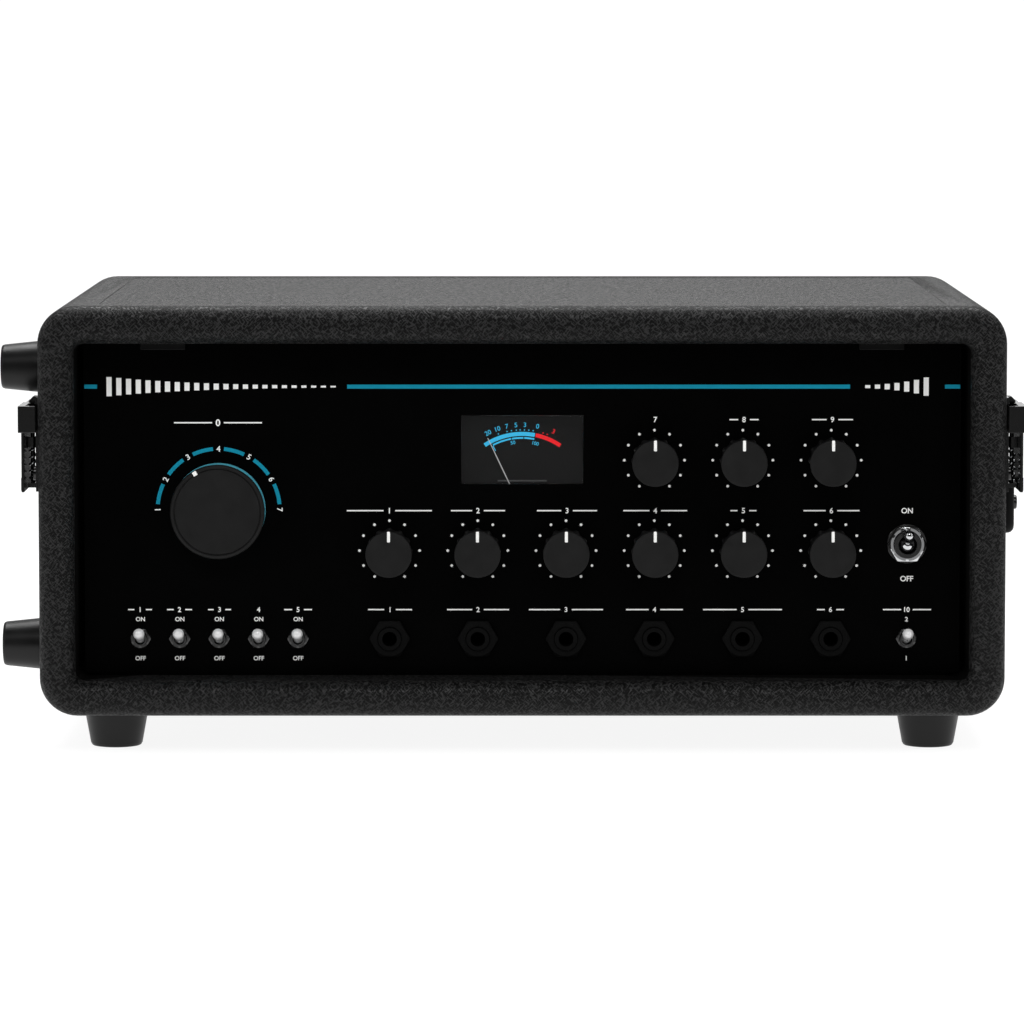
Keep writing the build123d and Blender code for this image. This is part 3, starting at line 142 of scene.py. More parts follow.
def ring_form(rings: np.ndarray, closed: bool = False) -> Surface:
    """A closed form through rings of points: P(i, j) = rings[i][j].

    Args:
        rings: array of rings, each an array of points in millimetres.
        closed: join the last ring to the first; otherwise each end is closed on its middle point.

    Returns:
        The form, facing outwards.
    """
    if not closed:
        ends = [np.broadcast_to(rings[k].mean(axis=0), rings[k].shape) for k in (0, -1)]
        rings = np.concatenate([ends[0][None], rings, ends[1][None]])
    count, around = rings.shape[:2]
    return Surface(rings.reshape(-1, 3), grid_quads(count, around, closed, True)).outward()


def revolved(profile: Sequence[tuple[float, float]], segments: int = 48, closed: bool = False) -> Surface:
    """A profile of (height z, radius r) turned about z: P = (r cos t, r sin t, z)."""
    z, r = np.array(profile, dtype=float).T
    t = np.arange(segments) * 2 * pi / segments
    rings = np.stack(
        np.broadcast_arrays(r[:, None] * np.cos(t), r[:, None] * np.sin(t), z[:, None]), axis=-1
    )
    return ring_form(rings, closed)


Outline = Callable[[float], np.ndarray]


def rounded_rectangle(half_x: float, half_y: float, radius: float, per_corner: int = 6) -> Outline:
    """A rounded rectangle as a function of how far it is drawn in: each corner is a quarter circle."""

    def outline(inset: float) -> np.ndarray:
        """Points of the outline drawn in by inset."""
        r = max(radius - inset, 0.01)
        quarter = np.linspace(0, pi / 2, per_corner)
        corners = []
        for k, (sx, sy) in enumerate(((1, 1), (-1, 1), (-1, -1), (1, -1))):
            angle = quarter + k * pi / 2
            centre = np.array((sx * (half_x - inset - r), sy * (half_y - inset - r)))
            corners.append(centre + r * np.stack((np.cos(angle), np.sin(angle)), axis=-1))
        return np.concatenate(corners)

    return outline


def polar(radius_at: Callable[[np.ndarray], np.ndarray], segments: int) -> Outline:
    """An outline r = radius_at(angle) - inset."""

    def outline(inset: float) -> np.ndarray:
        """Points of the outline drawn in by inset."""
        t = np.arange(segments) * 2 * pi / segments
        r = radius_at(t) - inset
        return np.stack((r * np.cos(t), r * np.sin(t)), axis=-1)

    return outline


def stacked(outline: Outline, levels: Sequence[tuple[float, float]], closed: bool = False) -> Surface:
    """An outline carried up z: at each level (z, inset) the outline is drawn in by inset."""
    rings = [np.insert(outline(inset), 2, z, axis=1) for z, inset in levels]
    return ring_form(np.stack(rings), closed)


def eased(low: float, high: float, edge_low: float, edge_high: float, steps: int = 4) -> list[tuple[float, float]]:
    """Levels of a form from low to high whose two ends are rounded by quarter circles.

    Args:
        low: lower end.
        high: upper end.
        edge_low: radius at the lower end.
        edge_high: radius at the upper end.
        steps: points on each quarter circle.

    Returns:
        Pairs of height and inset.
    """
    t = np.linspace(0, pi / 2, steps)
    lower = [(low + edge_low * (1 - sin(a)), edge_low * (1 - cos(a))) for a in t[::-1]]
    upper = [(high - edge_high * (1 - sin(a)), edge_high * (1 - cos(a))) for a in t]
    return lower + upper


def hex_nut(flats: float, bore: float, thickness: float, segments: int = 72) -> Surface:
    """A chamfered hexagon nut standing on z = 0.

    The side is r(t) = (flats / 2) / cos(t folded to -30..30 degrees), with flats above and below; the chamfer
    is a 30 degree cone that starts just inside the flats, so that its edge dips towards each corner.
    """
    t = np.arange(segments) * 2 * pi / segments
    side = (flats / 2) / np.cos(t % (pi / 3) - pi / 6)
    side = np.minimum(side, flats / 2 / cos(pi / 6) - 0.12)
    start = flats / 2 - 0.25
    fall = (side - start) * 0.577
    flat = np.zeros(segments)
    rows = [
        (flat + bore, flat), (flat + bore, flat + thickness - 0.25), (flat + bore + 0.25, flat + thickness),
        (flat + start, flat + thickness), (side - 0.1, thickness - fall + 0.08), (side, thickness - fall - 0.1),
        (side, flat + 0.15), (side - 0.15, flat),
    ]
    rings = np.stack([np.stack((r * np.cos(t), r * np.sin(t), z), axis=-1) for r, z in rows])
    return ring_form(rings, closed=True)


def coil(radius: float, wire: float, length: float, turns: float, sides: int = 8, per_turn: int = 20) -> Surface:
    """A round wire wound about z from z = 0: centre (R cos t, R sin t, pitch t / 2 pi), ring in its normal plane."""
    count = int(turns * per_turn) + 1
    t = np.linspace(0, turns * 2 * pi, count)[:, None]
    p = np.linspace(0, 2 * pi, sides, endpoint=False)[None, :]
    rise = (length - 2 * wire) / (turns * 2 * pi)
    lean = np.arctan2(rise, radius)
    out, up = wire * np.cos(p), wire * np.sin(p)
    x = (radius + out) * np.cos(t) + up * sin(lean) * np.sin(t)
    y = (radius + out) * np.sin(t) - up * sin(lean) * np.cos(t)
    z = wire + rise * t + up * cos(lean)
    return ring_form(np.stack(np.broadcast_arrays(x, y, z), axis=-1))


def band(x0: float, x1: float, y0: float, y1: float) -> Surface:
    """A flat rectangle in the z = 0 plane, facing up z."""
    points = np.array(((x0, y0, 0), (x1, y0, 0), (x1, y1, 0), (x0, y1, 0)), dtype=float)
    return Surface(points, np.array(((0, 1, 2, 3),)))


def arc_band(inner: float, outer: float, start: float, end: float, steps: int = 40) -> Surface:
    """A flat arc in the z = 0 plane: P(r, a) = (r sin a, r cos a), a in degrees clockwise from the top."""
    a = np.radians(np.linspace(start, end, steps))[:, None]
    r = np.array((inner, outer))[None, :]
    points = np.stack(np.broadcast_arrays(r * np.sin(a), r * np.cos(a), 0 * a), axis=-1)
    return Surface(points.reshape(-1, 3), grid_quads(steps, 2, False, False)[:, ::-1])


def dot(radius: float, segments: int = 20) -> Surface:
    """A flat disc in the z = 0 plane, facing up z: the arc band from its middle to its rim."""
    return arc_band(0.0, radius, 0, 360, segments + 1)


def vectors(values: bpy.types.bpy_prop_collection, name: str) -> np.ndarray:
    """One vector of every vertex or face, as rows."""
    flat = np.empty(len(values) * 3)
    values.foreach_get(name, flat)
    return flat.reshape(-1, 3)


def lettering(text: str, height: float, bold: float = 0.0) -> Surface:
    """Plain letters or numbers in the z = 0 plane, facing up z and centred, made from the built-in font.

    Args:
        text: what is written.
        height: height of its capitals in millimetres.
        bold: how far the strokes are thickened, as a share of the font's size.

    Returns:
        The flat letters.
    """
    curve = bpy.data.curves.new("letters", "FONT")
    curve.body = text
    curve.offset = bold
    curve.resolution_u = 4
    holder = bpy.data.objects.new("letters", curve)
    bpy.context.scene.collection.objects.link(holder)
    mesh = bpy.data.meshes.new_from_object(holder)
    mesh.calc_loop_triangles()
    points = vectors(mesh.vertices, "co")
    triangles = np.empty(len(mesh.loop_triangles) * 3, dtype=int)
    mesh.loop_triangles.foreach_get("vertices", triangles)
    triangles = triangles.reshape(-1, 3)
    bpy.data.objects.remove(holder)
    bpy.data.curves.remove(curve)
    bpy.data.meshes.remove(mesh)
    low, high = points.min(axis=0), points.max(axis=0)
    points = (points - (low + high) / 2) * height / (high[1] - low[1])
    doubled = np.concatenate([points, points[triangles[:, 2]]])
    last = np.arange(len(triangles)) + len(points)
    return Surface(doubled, np.column_stack([triangles, last]))


# ------------------------------------------------------------------------------------ finishes
Socket = bpy.types.NodeSocket
Feed = float | tuple | Socket
WHITE = (1.0, 1.0, 1.0, 1.0)


def linear(colour: str) -> tuple[float, float, float, float]:
    """An sRGB hex colour as linear red, green, blue and an alpha of one."""
    parts = [int(colour[k:k + 2], 16) / 255 for k in (1, 3, 5)]
    bent = [p / 12.92 if p <= 0.04045 else ((p + 0.055) / 1.055) ** 2.4 for p in parts]
    return (bent[0], bent[1], bent[2], 1.0)


class Graph:
    """The shader nodes of one tree, wired up as they are added."""

    def __init__(self, tree: bpy.types.NodeTree) -> None:
        """Starts from an empty tree."""
        self.tree = tree
        tree.nodes.clear()

    def node(self, kind: str, inputs: Optional[dict] = None, **settings: str) -> bpy.types.Node:
        """Adds one node.

        Args:
            kind: its type name, without the leading ShaderNode.
            inputs: fixed values, or the sockets that feed them, by name or number.
            settings: its own properties.

        Returns:
            The new node.
        """
        made = self.tree.nodes.new("ShaderNode" + kind)
        for name, value in settings.items():
            setattr(made, name, value)
        for name, value in (inputs or {}).items():
            if isinstance(value, Socket):
                self.tree.links.new(value, made.inputs[name])
            else:
                made.inputs[name].default_value = value
        return made

    def out(self, kind: str, inputs: Optional[dict] = None, **settings: str) -> Socket:
        """Adds one node and gives its first output."""
        return self.node(kind, inputs, **settings).outputs[0]

    def math(self, operation: str, *terms: Feed) -> Socket:
        """One operation on its terms."""
        return self.out("Math", dict(enumerate(terms)), operation=operation)

    def spread(
        self, value: Feed, low: float, high: float, start: float = 0.0, end: float = 1.0, way: str = "LINEAR",
    ) -> Socket:
        """A value between low and high spread over start to end."""
        return self.out("MapRange", {0: value, 1: low, 2: high, 3: start, 4: end}, interpolation_type=way)

    def noise(self, at: Socket, scale: float, detail: float, roughness: float = 0.5, warp: float = 0.0) -> Socket:
        """Fractal noise from nought to one."""
        inputs = {"Vector": at, "Scale": scale, "Detail": detail, "Roughness": roughness, "Distortion": warp}
        return self.node("TexNoise", inputs).outputs["Fac"]

    def mix(self, kind: str, factor: Socket, first: Feed, second: Feed) -> Socket:
        """The first number, vector or colour, blended into the second."""
        return self.node("Mix", {"Factor": factor, "A": first, "B": second}, data_type=kind).outputs["Result"]

    def blend(self, factor: Socket, first: Socket, second: Socket) -> Socket:
        """The first closure, blended into the second."""
        return self.out("MixShader", {0: factor, 1: first, 2: second})

    def stops(self, value: Socket, stops: Sequence[tuple[float, tuple]], way: str = "LINEAR") -> Socket:
        """Colours blended between stops of place and colour."""
        made = self.node("ValToRGB", {"Fac": value})
        made.color_ramp.interpolation = way
        while len(made.color_ramp.elements) < len(stops):
            made.color_ramp.elements.new(0.5)
        for stop, (place, colour) in zip(made.color_ramp.elements, stops):
            stop.position = place
            stop.color = colour
        return made.outputs[0]

    def split(self, vector: Socket) -> bpy.types.bpy_prop_collection:
        """A vector's three parts."""
        return self.node("SeparateXYZ", {0: vector}).outputs

    def place(self, stretch: tuple = (1.0, 1.0, 1.0)) -> Socket:
        """Object coordinates in millimetres, stretched."""
        spot = self.node("TexCoord").outputs["Object"]
        return self.out("Mapping", {"Vector": spot, "Scale": tuple(1000 * s for s in stretch)})


class Relief(Enum):
    """How a surface was made, which stretches its fine relief on x, d and h."""

    MOULDED = (1.0, 1.0, 1.0)
    BRUSHED_X = (0.03, 1.0, 1.0)
    BRUSHED_H = (1.0, 1.0, 0.03)


@dataclass(frozen=True)
class Finish:
    """A real material's look: two tones that drift into each other, a fine relief and a gloss.

    The sizes of blotch and grain and the depth of the relief are in millimetres. Some inks have a painted
    glow of their own in lit: painted light that brightens them where they lie in shade.
    """

    name: str
    colour: str
    shade: str
    blotch: float
    grain: float
    depth: float
    roughness: tuple[float, float]
    specular: float = 0.5
    metallic: float = 0.0
    coat: float = 0.0
    relief: Relief = Relief.MOULDED
    lit: float = 0.0

    def base(self, graph: Graph, drift: Socket) -> Socket:
        """The colour: the first tone drifting into the second."""
        return graph.stops(drift, ((0.3, linear(self.colour)), (0.7, linear(self.shade))))

    def gloss(self, graph: Graph, drift: Socket) -> Socket:
        """The roughness: it drifts with the tone."""
        return graph.spread(drift, 0.3, 0.7, *self.roughness)

    def height(self, graph: Graph) -> Socket:
        """The fine relief as a height from nought to one."""
        return graph.noise(graph.place(self.relief.value), 1 / self.grain, 3.0, 0.55)

    def shader(self, graph: Graph) -> Socket:
        """The finish as a closure."""
        drift = graph.noise(graph.place(), 1 / self.blotch, 5.0, 0.6)
        bump = {"Strength": 1.0, "Distance": self.depth * MM, "Height": self.height(graph)}
        colour = self.base(graph, drift)
        inputs = {
            "Base Color": colour, "Roughness": self.gloss(graph, drift), "Normal": graph.out("Bump", bump),
            "Metallic": self.metallic, "Specular IOR Level": self.specular, "Coat Weight": self.coat,
            "Coat Roughness": 0.12, "Emission Strength": self.lit,
        }
        # Painted glow: the surface gives off light in its own colour, though it is no lamp.
        if self.lit:
            inputs["Emission Color"] = colour
        return graph.out("BsdfPrincipled", inputs)


@dataclass(frozen=True)
class Leatherette(Finish):
    """Grained vinyl cloth over plywood: short crossing ridges over a matt black ground, their paler colour a painted
    highlight where they catch the light.
    """

    # Paler colour of the ridges: painted highlight on their tops.
    ridge: str = "#2f2f2f"
    ridge_roughness: float = 0.32
    ridge_size: tuple[float, float] = (2.4, 0.56)
    lean: float = 45.0
    thin: tuple[float, float] = (0.53, 0.63)
    turning: float = 0.72
    pebbles: float = 0.3

    def flat_place(self, graph: Graph) -> Socket:
        """Two coordinates on the face: x and h from the front, d and h from the side, x and d from above."""
        place = graph.split(graph.place())
        normal = graph.node("TexCoord").outputs["Normal"]
        facing = graph.split(graph.out("VectorMath", {0: normal}, operation="ABSOLUTE"))
        chosen = graph.out("CombineXYZ", {"X": place["X"], "Y": place["Z"]})
        for part, first, second in (("X", "Y", "Z"), ("Z", "X", "Y")):
            turned = graph.out("CombineXYZ", {"X": place[first], "Y": place[second]})
            chosen = graph.mix("VECTOR", graph.math("GREATER_THAN", facing[part], self.turning), chosen, turned)
        return chosen

    def ridges(self, graph: Graph) -> Socket:
        """Two crossing sets of short ridges: the tops of a noise drawn out along each lean."""
        place = self.flat_place(graph)
        layers = []
        for lean in (self.lean, -self.lean):
            drawn = {
                "Vector": place, "Location": (lean, 0.0, 0.0), "Rotation": (0.0, 0.0, radians(lean)),
                "Scale": (*self.ridge_size, 1.0),
            }
            cells = graph.noise(graph.out("Mapping", drawn, vector_type="TEXTURE"), 1.0, 1.0, 0.4, 0.5)
            layers.append(graph.spread(cells, *self.thin, way="SMOOTHSTEP"))
        return graph.math("MAXIMUM", *layers)

    def base(self, graph: Graph, drift: Socket) -> Socket:
        """The ground's colour with the ridges painted paler: a painted highlight on their tops."""
        return graph.mix("RGBA", self.ridges(graph), super().base(graph, drift), linear(self.ridge))

    def gloss(self, graph: Graph, drift: Socket) -> Socket:
        """Rubbed ridges shine more than the ground."""
        return graph.mix("FLOAT", self.ridges(graph), super().gloss(graph, drift), self.ridge_roughness)

    def height(self, graph: Graph) -> Socket:
        """Ridges standing on a finely pebbled ground."""
        return graph.math("ADD", self.ridges(graph), graph.math("MULTIPLY", super().height(graph), self.pebbles))


@dataclass(frozen=True)
class Plywood(Finish):
    """Birch plywood stained black inside the case."""

    def base(self, graph: Graph, drift: Socket) -> Socket:
        """Grain drawn out along x, light and dark."""
        return super().base(graph, graph.noise(graph.place((0.06, 0.9, 0.9)), 0.35, 6.0, 0.65, 0.4))


@dataclass(frozen=True)
class Glass:
    """Clear moulded sheet, a little tinted, that shows what lies behind it."""

    name: str
    tint: str
    roughness: float
    gloss: float

    def shader(self, graph: Graph) -> Socket:
        """Light goes straight through; a Fresnel share of it is mirrored, duller where the sheet is smeared."""
        smear = graph.noise(graph.node("TexCoord").outputs["Object"], 60.0, 2.0)
        dull = graph.spread(smear, 0.3, 0.7, self.roughness, self.roughness + 0.06)
        mirror = graph.out("BsdfGlossy", {"Color": WHITE, "Roughness": dull})
        share = graph.math("MULTIPLY", graph.out("Fresnel", {"IOR": 1.45}), self.gloss)
        return graph.blend(share, graph.out("BsdfTransparent", {"Color": linear(self.tint)}), mirror)


@dataclass(frozen=True)
class Striped(Finish):
    """A finish with even stripes round a centre or along an axis, such as wound tape or a screw thread."""

    centre: tuple[float, float, float] = (0.0, 0.0, 0.0)
    along: Optional[Axis] = None
    pitch: float = 8.0
    stripe: str = "#101010"
    share: float = 0.1

    def stripes(self, graph: Graph) -> Socket:
        """A saw from nought to one: place along the axis, or angle round the centre, over the pitch."""
        shift = tuple(-c for c in (np.array(self.centre) + CASE_ORIGIN))
        local = graph.out("VectorMath", {0: graph.place(), 1: shift}, operation="ADD")
        if self.along is None:
            turn = graph.node("TexGradient", {"Vector": local}, gradient_type="RADIAL").outputs["Fac"]
            many = graph.math("MULTIPLY", turn, 360.0 / self.pitch)
        else:
            many = graph.math("MULTIPLY", graph.split(local)[list(Axis).index(self.along)], 1 / self.pitch)
        return graph.math("FRACT", many)

    def base(self, graph: Graph, drift: Socket) -> Socket:
        """The tones with a stripe of the other colour at each step."""
        edge = graph.math("LESS_THAN", self.stripes(graph), self.share)
        return graph.mix("RGBA", edge, super().base(graph, drift), linear(self.stripe))

    def height(self, graph: Graph) -> Socket:
        """A rounded rib at each step: the saw folded into a hill."""
        return graph.math("MULTIPLY", graph.math("PINGPONG", self.stripes(graph), 0.5), 2.0)


Look = Finish | Glass


@lru_cache(maxsize=None)
def material(finish: Look) -> bpy.types.Material:
    """The Blender material of a finish, made once."""
    made = bpy.data.materials.new(finish.name)
    made.use_nodes = True
    graph = Graph(made.node_tree)
    graph.node("OutputMaterial", {"Surface": finish.shader(graph)})
    return made


# Every finish: name, two tones, size of blotches, size of grain, depth of relief, roughness, specular level.
# The covering is levant-grained vinyl, its ridges half a millimetre wide.
COVERING = Leatherette("grained_vinyl_covering", "#010101", "#030303", 9.0, 0.7, 0.26, (0.5, 0.58), 0.22)
LINING = Plywood("black_stained_birch_ply", "#060606", "#0d0c0b", 12.0, 0.8, 0.03, (0.6, 0.75), 0.1)
# Powder coat: hardly any gloss on the flat panel, while the light finds the edges of small folded parts.
PANEL_COAT = Finish("satin_black_powder_coat", "#020202", "#030303", 30.0, 0.35, 0.006, (0.42, 0.5), 0.02)
SMALL_COAT = Finish("black_powder_coat_small_parts", "#060606", "#0a0a0a", 8.0, 0.35, 0.01, (0.38, 0.5), 0.15)
# Mouldings, rubber and leather.
KNOB_ABS = Finish("spark_textured_abs", "#131313", "#191919", 7.0, 0.25, 0.012, (0.45, 0.55), 0.2)
KNOB_SKIRT = Finish("moulded_abs_skirt", "#0a0a0a", "#0f0f0f", 6.0, 0.3, 0.01, (0.45, 0.55), 0.25)
# The selector's side is painted cyan: a painted reflection of the teal arcs printed round it.
TEAL_REFLECTION_PAINT = Finish("cyan_painted_reflection", "#74e4fb", "#62d4ee", 9.0, 0.3, 0.003, (0.26, 0.34), 0.5)
NYLON = Finish("black_nylon_jack", "#050505", "#080808", 5.0, 0.3, 0.01, (0.5, 0.6), 0.08)
PHENOLIC = Finish("black_phenolic_moulding", "#121110", "#1c1a18", 6.0, 0.4, 0.02, (0.45, 0.6))
EPOXY = Finish("black_epoxy_package", "#151515", "#1e1e1e", 4.0, 0.25, 0.02, (0.6, 0.7), 0.4)
SLEEVE = Finish("blue_capacitor_sleeve", "#1d3f7a", "#234a8c", 4.0, 0.5, 0.01, (0.3, 0.4))
RUBBER = Finish("moulded_rubber", "#040404", "#080808", 6.0, 0.4, 0.008, (0.34, 0.42), 0.36)
BELT = Finish("nitrile_rubber_belt", "#161616", "#222222", 5.0, 0.3, 0.01, (0.6, 0.75), 0.3)
STRAP = Finish("black_strap_leather", "#101010", "#1b1a19", 7.0, 0.9, 0.07, (0.38, 0.55))
TAPE = Finish("brown_oxide_tape", "#3a2418", "#452c1e", 20.0, 0.3, 0.002, (0.3, 0.4))
BOARD = Finish("green_masked_fibreglass", "#1d5a33", "#246b3e", 5.0, 0.9, 0.04, (0.3, 0.42), coat=0.3)
# Black plated metals: their colour is too dark for a metal's, so they shine as lacquer does.
BLACK_NICKEL = Finish("black_nickel_plate", "#0d0d0d", "#141414", 5.0, 0.6, 0.003, (0.14, 0.22), 0.8, coat=0.3)
BLACK_CHROMATE = Finish("black_chromate_steel", "#050505", "#090908", 6.0, 0.5, 0.004, (0.08, 0.16), 0.6)
SATIN_NICKEL = Finish("satin_nickel_lever", "#e9e9e9", "#f6f6f6", 4.0, 0.4, 0.004, (0.3, 0.36), metallic=0.3)
# Bright metals.
METAL = {"metallic": 1.0}
BRUSHED = {"metallic": 1.0, "relief": Relief.BRUSHED_X}
CHROME = Finish("chrome_plate", "#d6d7d9", "#e2e3e4", 20.0, 1.2, 0.002, (0.06, 0.12), **METAL)
ZINC = Finish("zinc_plated_steel", "#b4b6b6", "#c9cac8", 7.0, 0.25, 0.004, (0.3, 0.45), **BRUSHED)
SPRING_STEEL = Finish("spring_wire", "#b9bbbd", "#cfd0d2", 3.0, 0.3, 0.003, (0.18, 0.28), **METAL)
DECK_METAL = Finish("brushed_aluminium_deck", "#b9babc", "#c6c7c9", 25.0, 0.22, 0.01, (0.28, 0.38), **BRUSHED)
BRASS = Finish("turned_brass", "#c9a45a", "#b48d48", 5.0, 0.3, 0.004, (0.2, 0.32), **METAL)
CAN_TOP = Finish("capacitor_can_top", "#c4c6c8", "#d2d4d6", 3.0, 0.3, 0.01, (0.25, 0.35), **METAL)
MU_METAL = Finish(
    "polished_head_face", "#cfd0d0", "#dddedd", 3.0, 0.15, 0.002, (0.12, 0.2), metallic=1.0, relief=Relief.BRUSHED_H
)
THREAD = Striped(
    "threaded_plated_bushing", "#9fa0a2", "#b4b5b7", 4.0, 0.5, 0.22, (0.2, 0.3), metallic=1.0,
    along=Axis.D, pitch=0.7, stripe="#8a8b8d",
)
# A toroid wrapped in overlapping turns of polyester tape.
WINDING = Striped(
    "polyester_tape_wrap", "#c9a83a", "#b8952e", 12.0, 0.5, 0.25, (0.25, 0.38),
    centre=(122.0, 190.0, 0.0), pitch=9.0, stripe="#8d701e", share=0.08,
)
# Inks, enamels and the meter's card and window.
INK_WHITE = Finish("white_screen_ink", "#ededeb", "#f4f4f2", 12.0, 0.2, 0.003, (0.5, 0.6), 0.2)
INK_TEAL = Finish("teal_screen_ink", "#11859f", "#148ca7", 12.0, 0.2, 0.003, (0.5, 0.6), 0.06)
# The meter's scale inks glow with painted light, which makes up for the shade of the meter's recess.
INK_BLUE = Finish("pale_blue_scale_ink", "#3cc0ee", "#45c8f4", 12.0, 0.2, 0.003, (0.6, 0.7), 0.1, lit=0.42)
INK_RED = Finish("red_scale_ink", "#ee1f27", "#f22c33", 12.0, 0.2, 0.003, (0.6, 0.7), 0.1, lit=0.42)
POINTER = Finish("white_pointer_enamel", "#f4f4f2", "#fbfbf9", 12.0, 0.3, 0.004, (0.4, 0.5), 0.3)
DIAL_CARD = Finish("matt_dial_card", "#161616", "#1a1a1a", 15.0, 0.3, 0.004, (0.8, 0.9), 0.1)
DIAL_BAR = Finish("grey_lacquered_bar", "#626363", "#6e6f6f", 12.0, 0.3, 0.003, (0.4, 0.5), 0.3)
NEEDLE = Finish("needle_lacquer", "#efefef", "#f7f7f7", 12.0, 0.3, 0.003, (0.4, 0.5), 0.3)
WINDOW = Glass("meter_window_glass", "#f8f8f8", 0.03, 0.5)
ACRYLIC = Glass("clear_acrylic_cover", "#dfe6e6", 0.04, 1.0)


# ------------------------------------------------------------------------------------ pieces
@dataclass(frozen=True)
class Faces:
    """A mesh's faces: their middles in the case's millimetres, and how far each looks up."""

    x: np.ndarray
    d: np.ndarray
    h: np.ndarray
    up: np.ndarray

    def within(self, low: tuple, high: tuple) -> np.ndarray:
        """Which middles lie in a box."""
        sides = zip((self.x, self.d, self.h), low, high)
        return np.all([(value > a) & (value < b) for value, a, b in sides], axis=0)


Pick = Callable[[Faces], np.ndarray]
Bend = Callable[[np.ndarray], np.ndarray]


@contextmanager
def edited(mesh: bpy.types.Mesh) -> Iterator[bmesh.types.BMesh]:
    """A mesh opened for editing, and written back at the end."""
    work = bmesh.new()
    work.from_mesh(mesh)
    yield work
    work.to_mesh(mesh)
    work.free()


def placed(mesh: bpy.types.Mesh, finishes: Sequence[Look], sharp: float, name: str) -> bpy.types.Object:
    """A mesh with its finishes and smooth shading, broken at sharp degrees, as an object of the scene."""
    for finish in finishes:
        mesh.materials.append(material(finish))
    mesh.polygons.foreach_set("use_smooth", np.ones(len(mesh.polygons), dtype=bool))
    mesh.set_sharp_from_angle(angle=radians(sharp))
    piece = bpy.data.objects.new(name, mesh)
    bpy.context.scene.collection.objects.link(piece)
    return piece


def settle(piece: bpy.types.Object, body: str, replaced: Sequence[str], slot: str) -> None:
    """Ties a piece to its body, hides the nodes that it stands for, and reports it."""
    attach(piece, body)
    if replaced:
        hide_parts(*replaced)
    log.info("%s rides on %s, %d faces", piece.name, body, len(piece.data.polygons))


def build_piece(
    name: str, parts: Sequence[tuple[Surface, Look]], slot: str = "", node: str = "", body: str = "case",
    sharp: float = 32.0,
) -> None:
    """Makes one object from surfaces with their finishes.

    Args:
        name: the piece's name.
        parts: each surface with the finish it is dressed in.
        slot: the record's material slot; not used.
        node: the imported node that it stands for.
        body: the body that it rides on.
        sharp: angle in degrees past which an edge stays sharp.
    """
    finishes = list(dict.fromkeys(finish for _, finish in parts))
    whole = joined([surface for surface, _ in parts])
    numbers = np.concatenate([np.full(len(s.quads), finishes.index(f), dtype=np.int32) for s, f in parts])
    mesh = bpy.data.meshes.new(name)
    mesh.from_pydata(((whole.points + CASE_ORIGIN) * MM).tolist(), [], whole.quads.tolist())
    mesh.polygons.foreach_set("material_index", numbers)
    with edited(mesh) as work:
        bmesh.ops.remove_doubles(work, verts=work.verts, dist=0.0005 * MM)
    settle(placed(mesh, finishes, sharp, name), body, [node] if node else [], slot)


def dress(
    name: str, node: str, finishes: Sequence[Look], edge: float, slot: str, pick: Optional[Pick] = None,
    drop: Optional[Pick] = None, bend: Optional[Bend] = None, sharp: float = 32.0,
) -> None:
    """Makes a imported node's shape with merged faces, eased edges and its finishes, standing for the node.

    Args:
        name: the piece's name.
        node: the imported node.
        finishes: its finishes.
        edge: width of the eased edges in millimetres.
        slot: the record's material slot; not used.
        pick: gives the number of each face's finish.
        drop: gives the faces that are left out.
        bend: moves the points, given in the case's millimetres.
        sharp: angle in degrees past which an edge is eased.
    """
    source = frame["nodes"][node]
    mesh = source.data.copy()
    mesh.name = name
    mesh.materials.clear()
    if bend:
        points = (bend(vectors(mesh.vertices, "co") / MM - CASE_ORIGIN) + CASE_ORIGIN) * MM
        mesh.vertices.foreach_set("co", points.ravel())
    with edited(mesh) as work:
        bmesh.ops.remove_doubles(work, verts=work.verts, dist=0.001 * MM)
        if edge:
            bmesh.ops.dissolve_limit(work, angle_limit=radians(0.05), verts=work.verts, edges=work.edges)
    middles = vectors(mesh.polygons, "center") / MM - CASE_ORIGIN
    faces = Faces(*middles.T, vectors(mesh.polygons, "normal")[:, 2])
    if pick:
        mesh.polygons.foreach_set("material_index", pick(faces).astype(np.int32))
    if drop:
        gone = set(np.nonzero(drop(faces))[0].tolist())
        with edited(mesh) as work:
            bmesh.ops.delete(work, geom=[f for f in work.faces if f.index in gone], context="FACES")
    piece = placed(mesh, finishes, sharp, name)
    if edge:
        ease = piece.modifiers.new("eased_edges", "BEVEL")
        ease.width = edge * MM
        ease.segments = 2
        ease.limit_method = "ANGLE"
        ease.angle_limit = radians(sharp)
        ease.harden_normals = True
    piece.modifiers.new("even_faces", "WEIGHTED_NORMAL").keep_sharp = True
    settle(piece, source["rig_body"], [node], slot)


@dataclass
class Print:
    """Flat ink gathered for one colour, laid on one plane that faces the front."""

    name: str
    finish: Finish
    depth: float
    shapes: list[Surface] = field(default_factory=list)

    def put(self, shape: Surface, x: float, h: float, turn: float = 0.0) -> None:
        """Prints a flat shape at x, h, turned clockwise by turn degrees."""
        self.shapes.append(shape.turned(Axis.H, -turn).to_front().moved(x, self.depth, h))

    def put_round(self, shape: Surface, centre: tuple, radius: float, angle: float, turn: float = 0.0) -> None:
        """Prints a shape on a circle, at an angle in degrees clockwise from its top."""
        a = radians(angle)
        self.put(shape, centre[0] + radius * sin(a), centre[1] + radius * cos(a), turn)

    def finish_print(self) -> None:
        """Makes the ink one piece."""
        build_piece(self.name, [(joined(self.shapes), self.finish)], sharp=60)


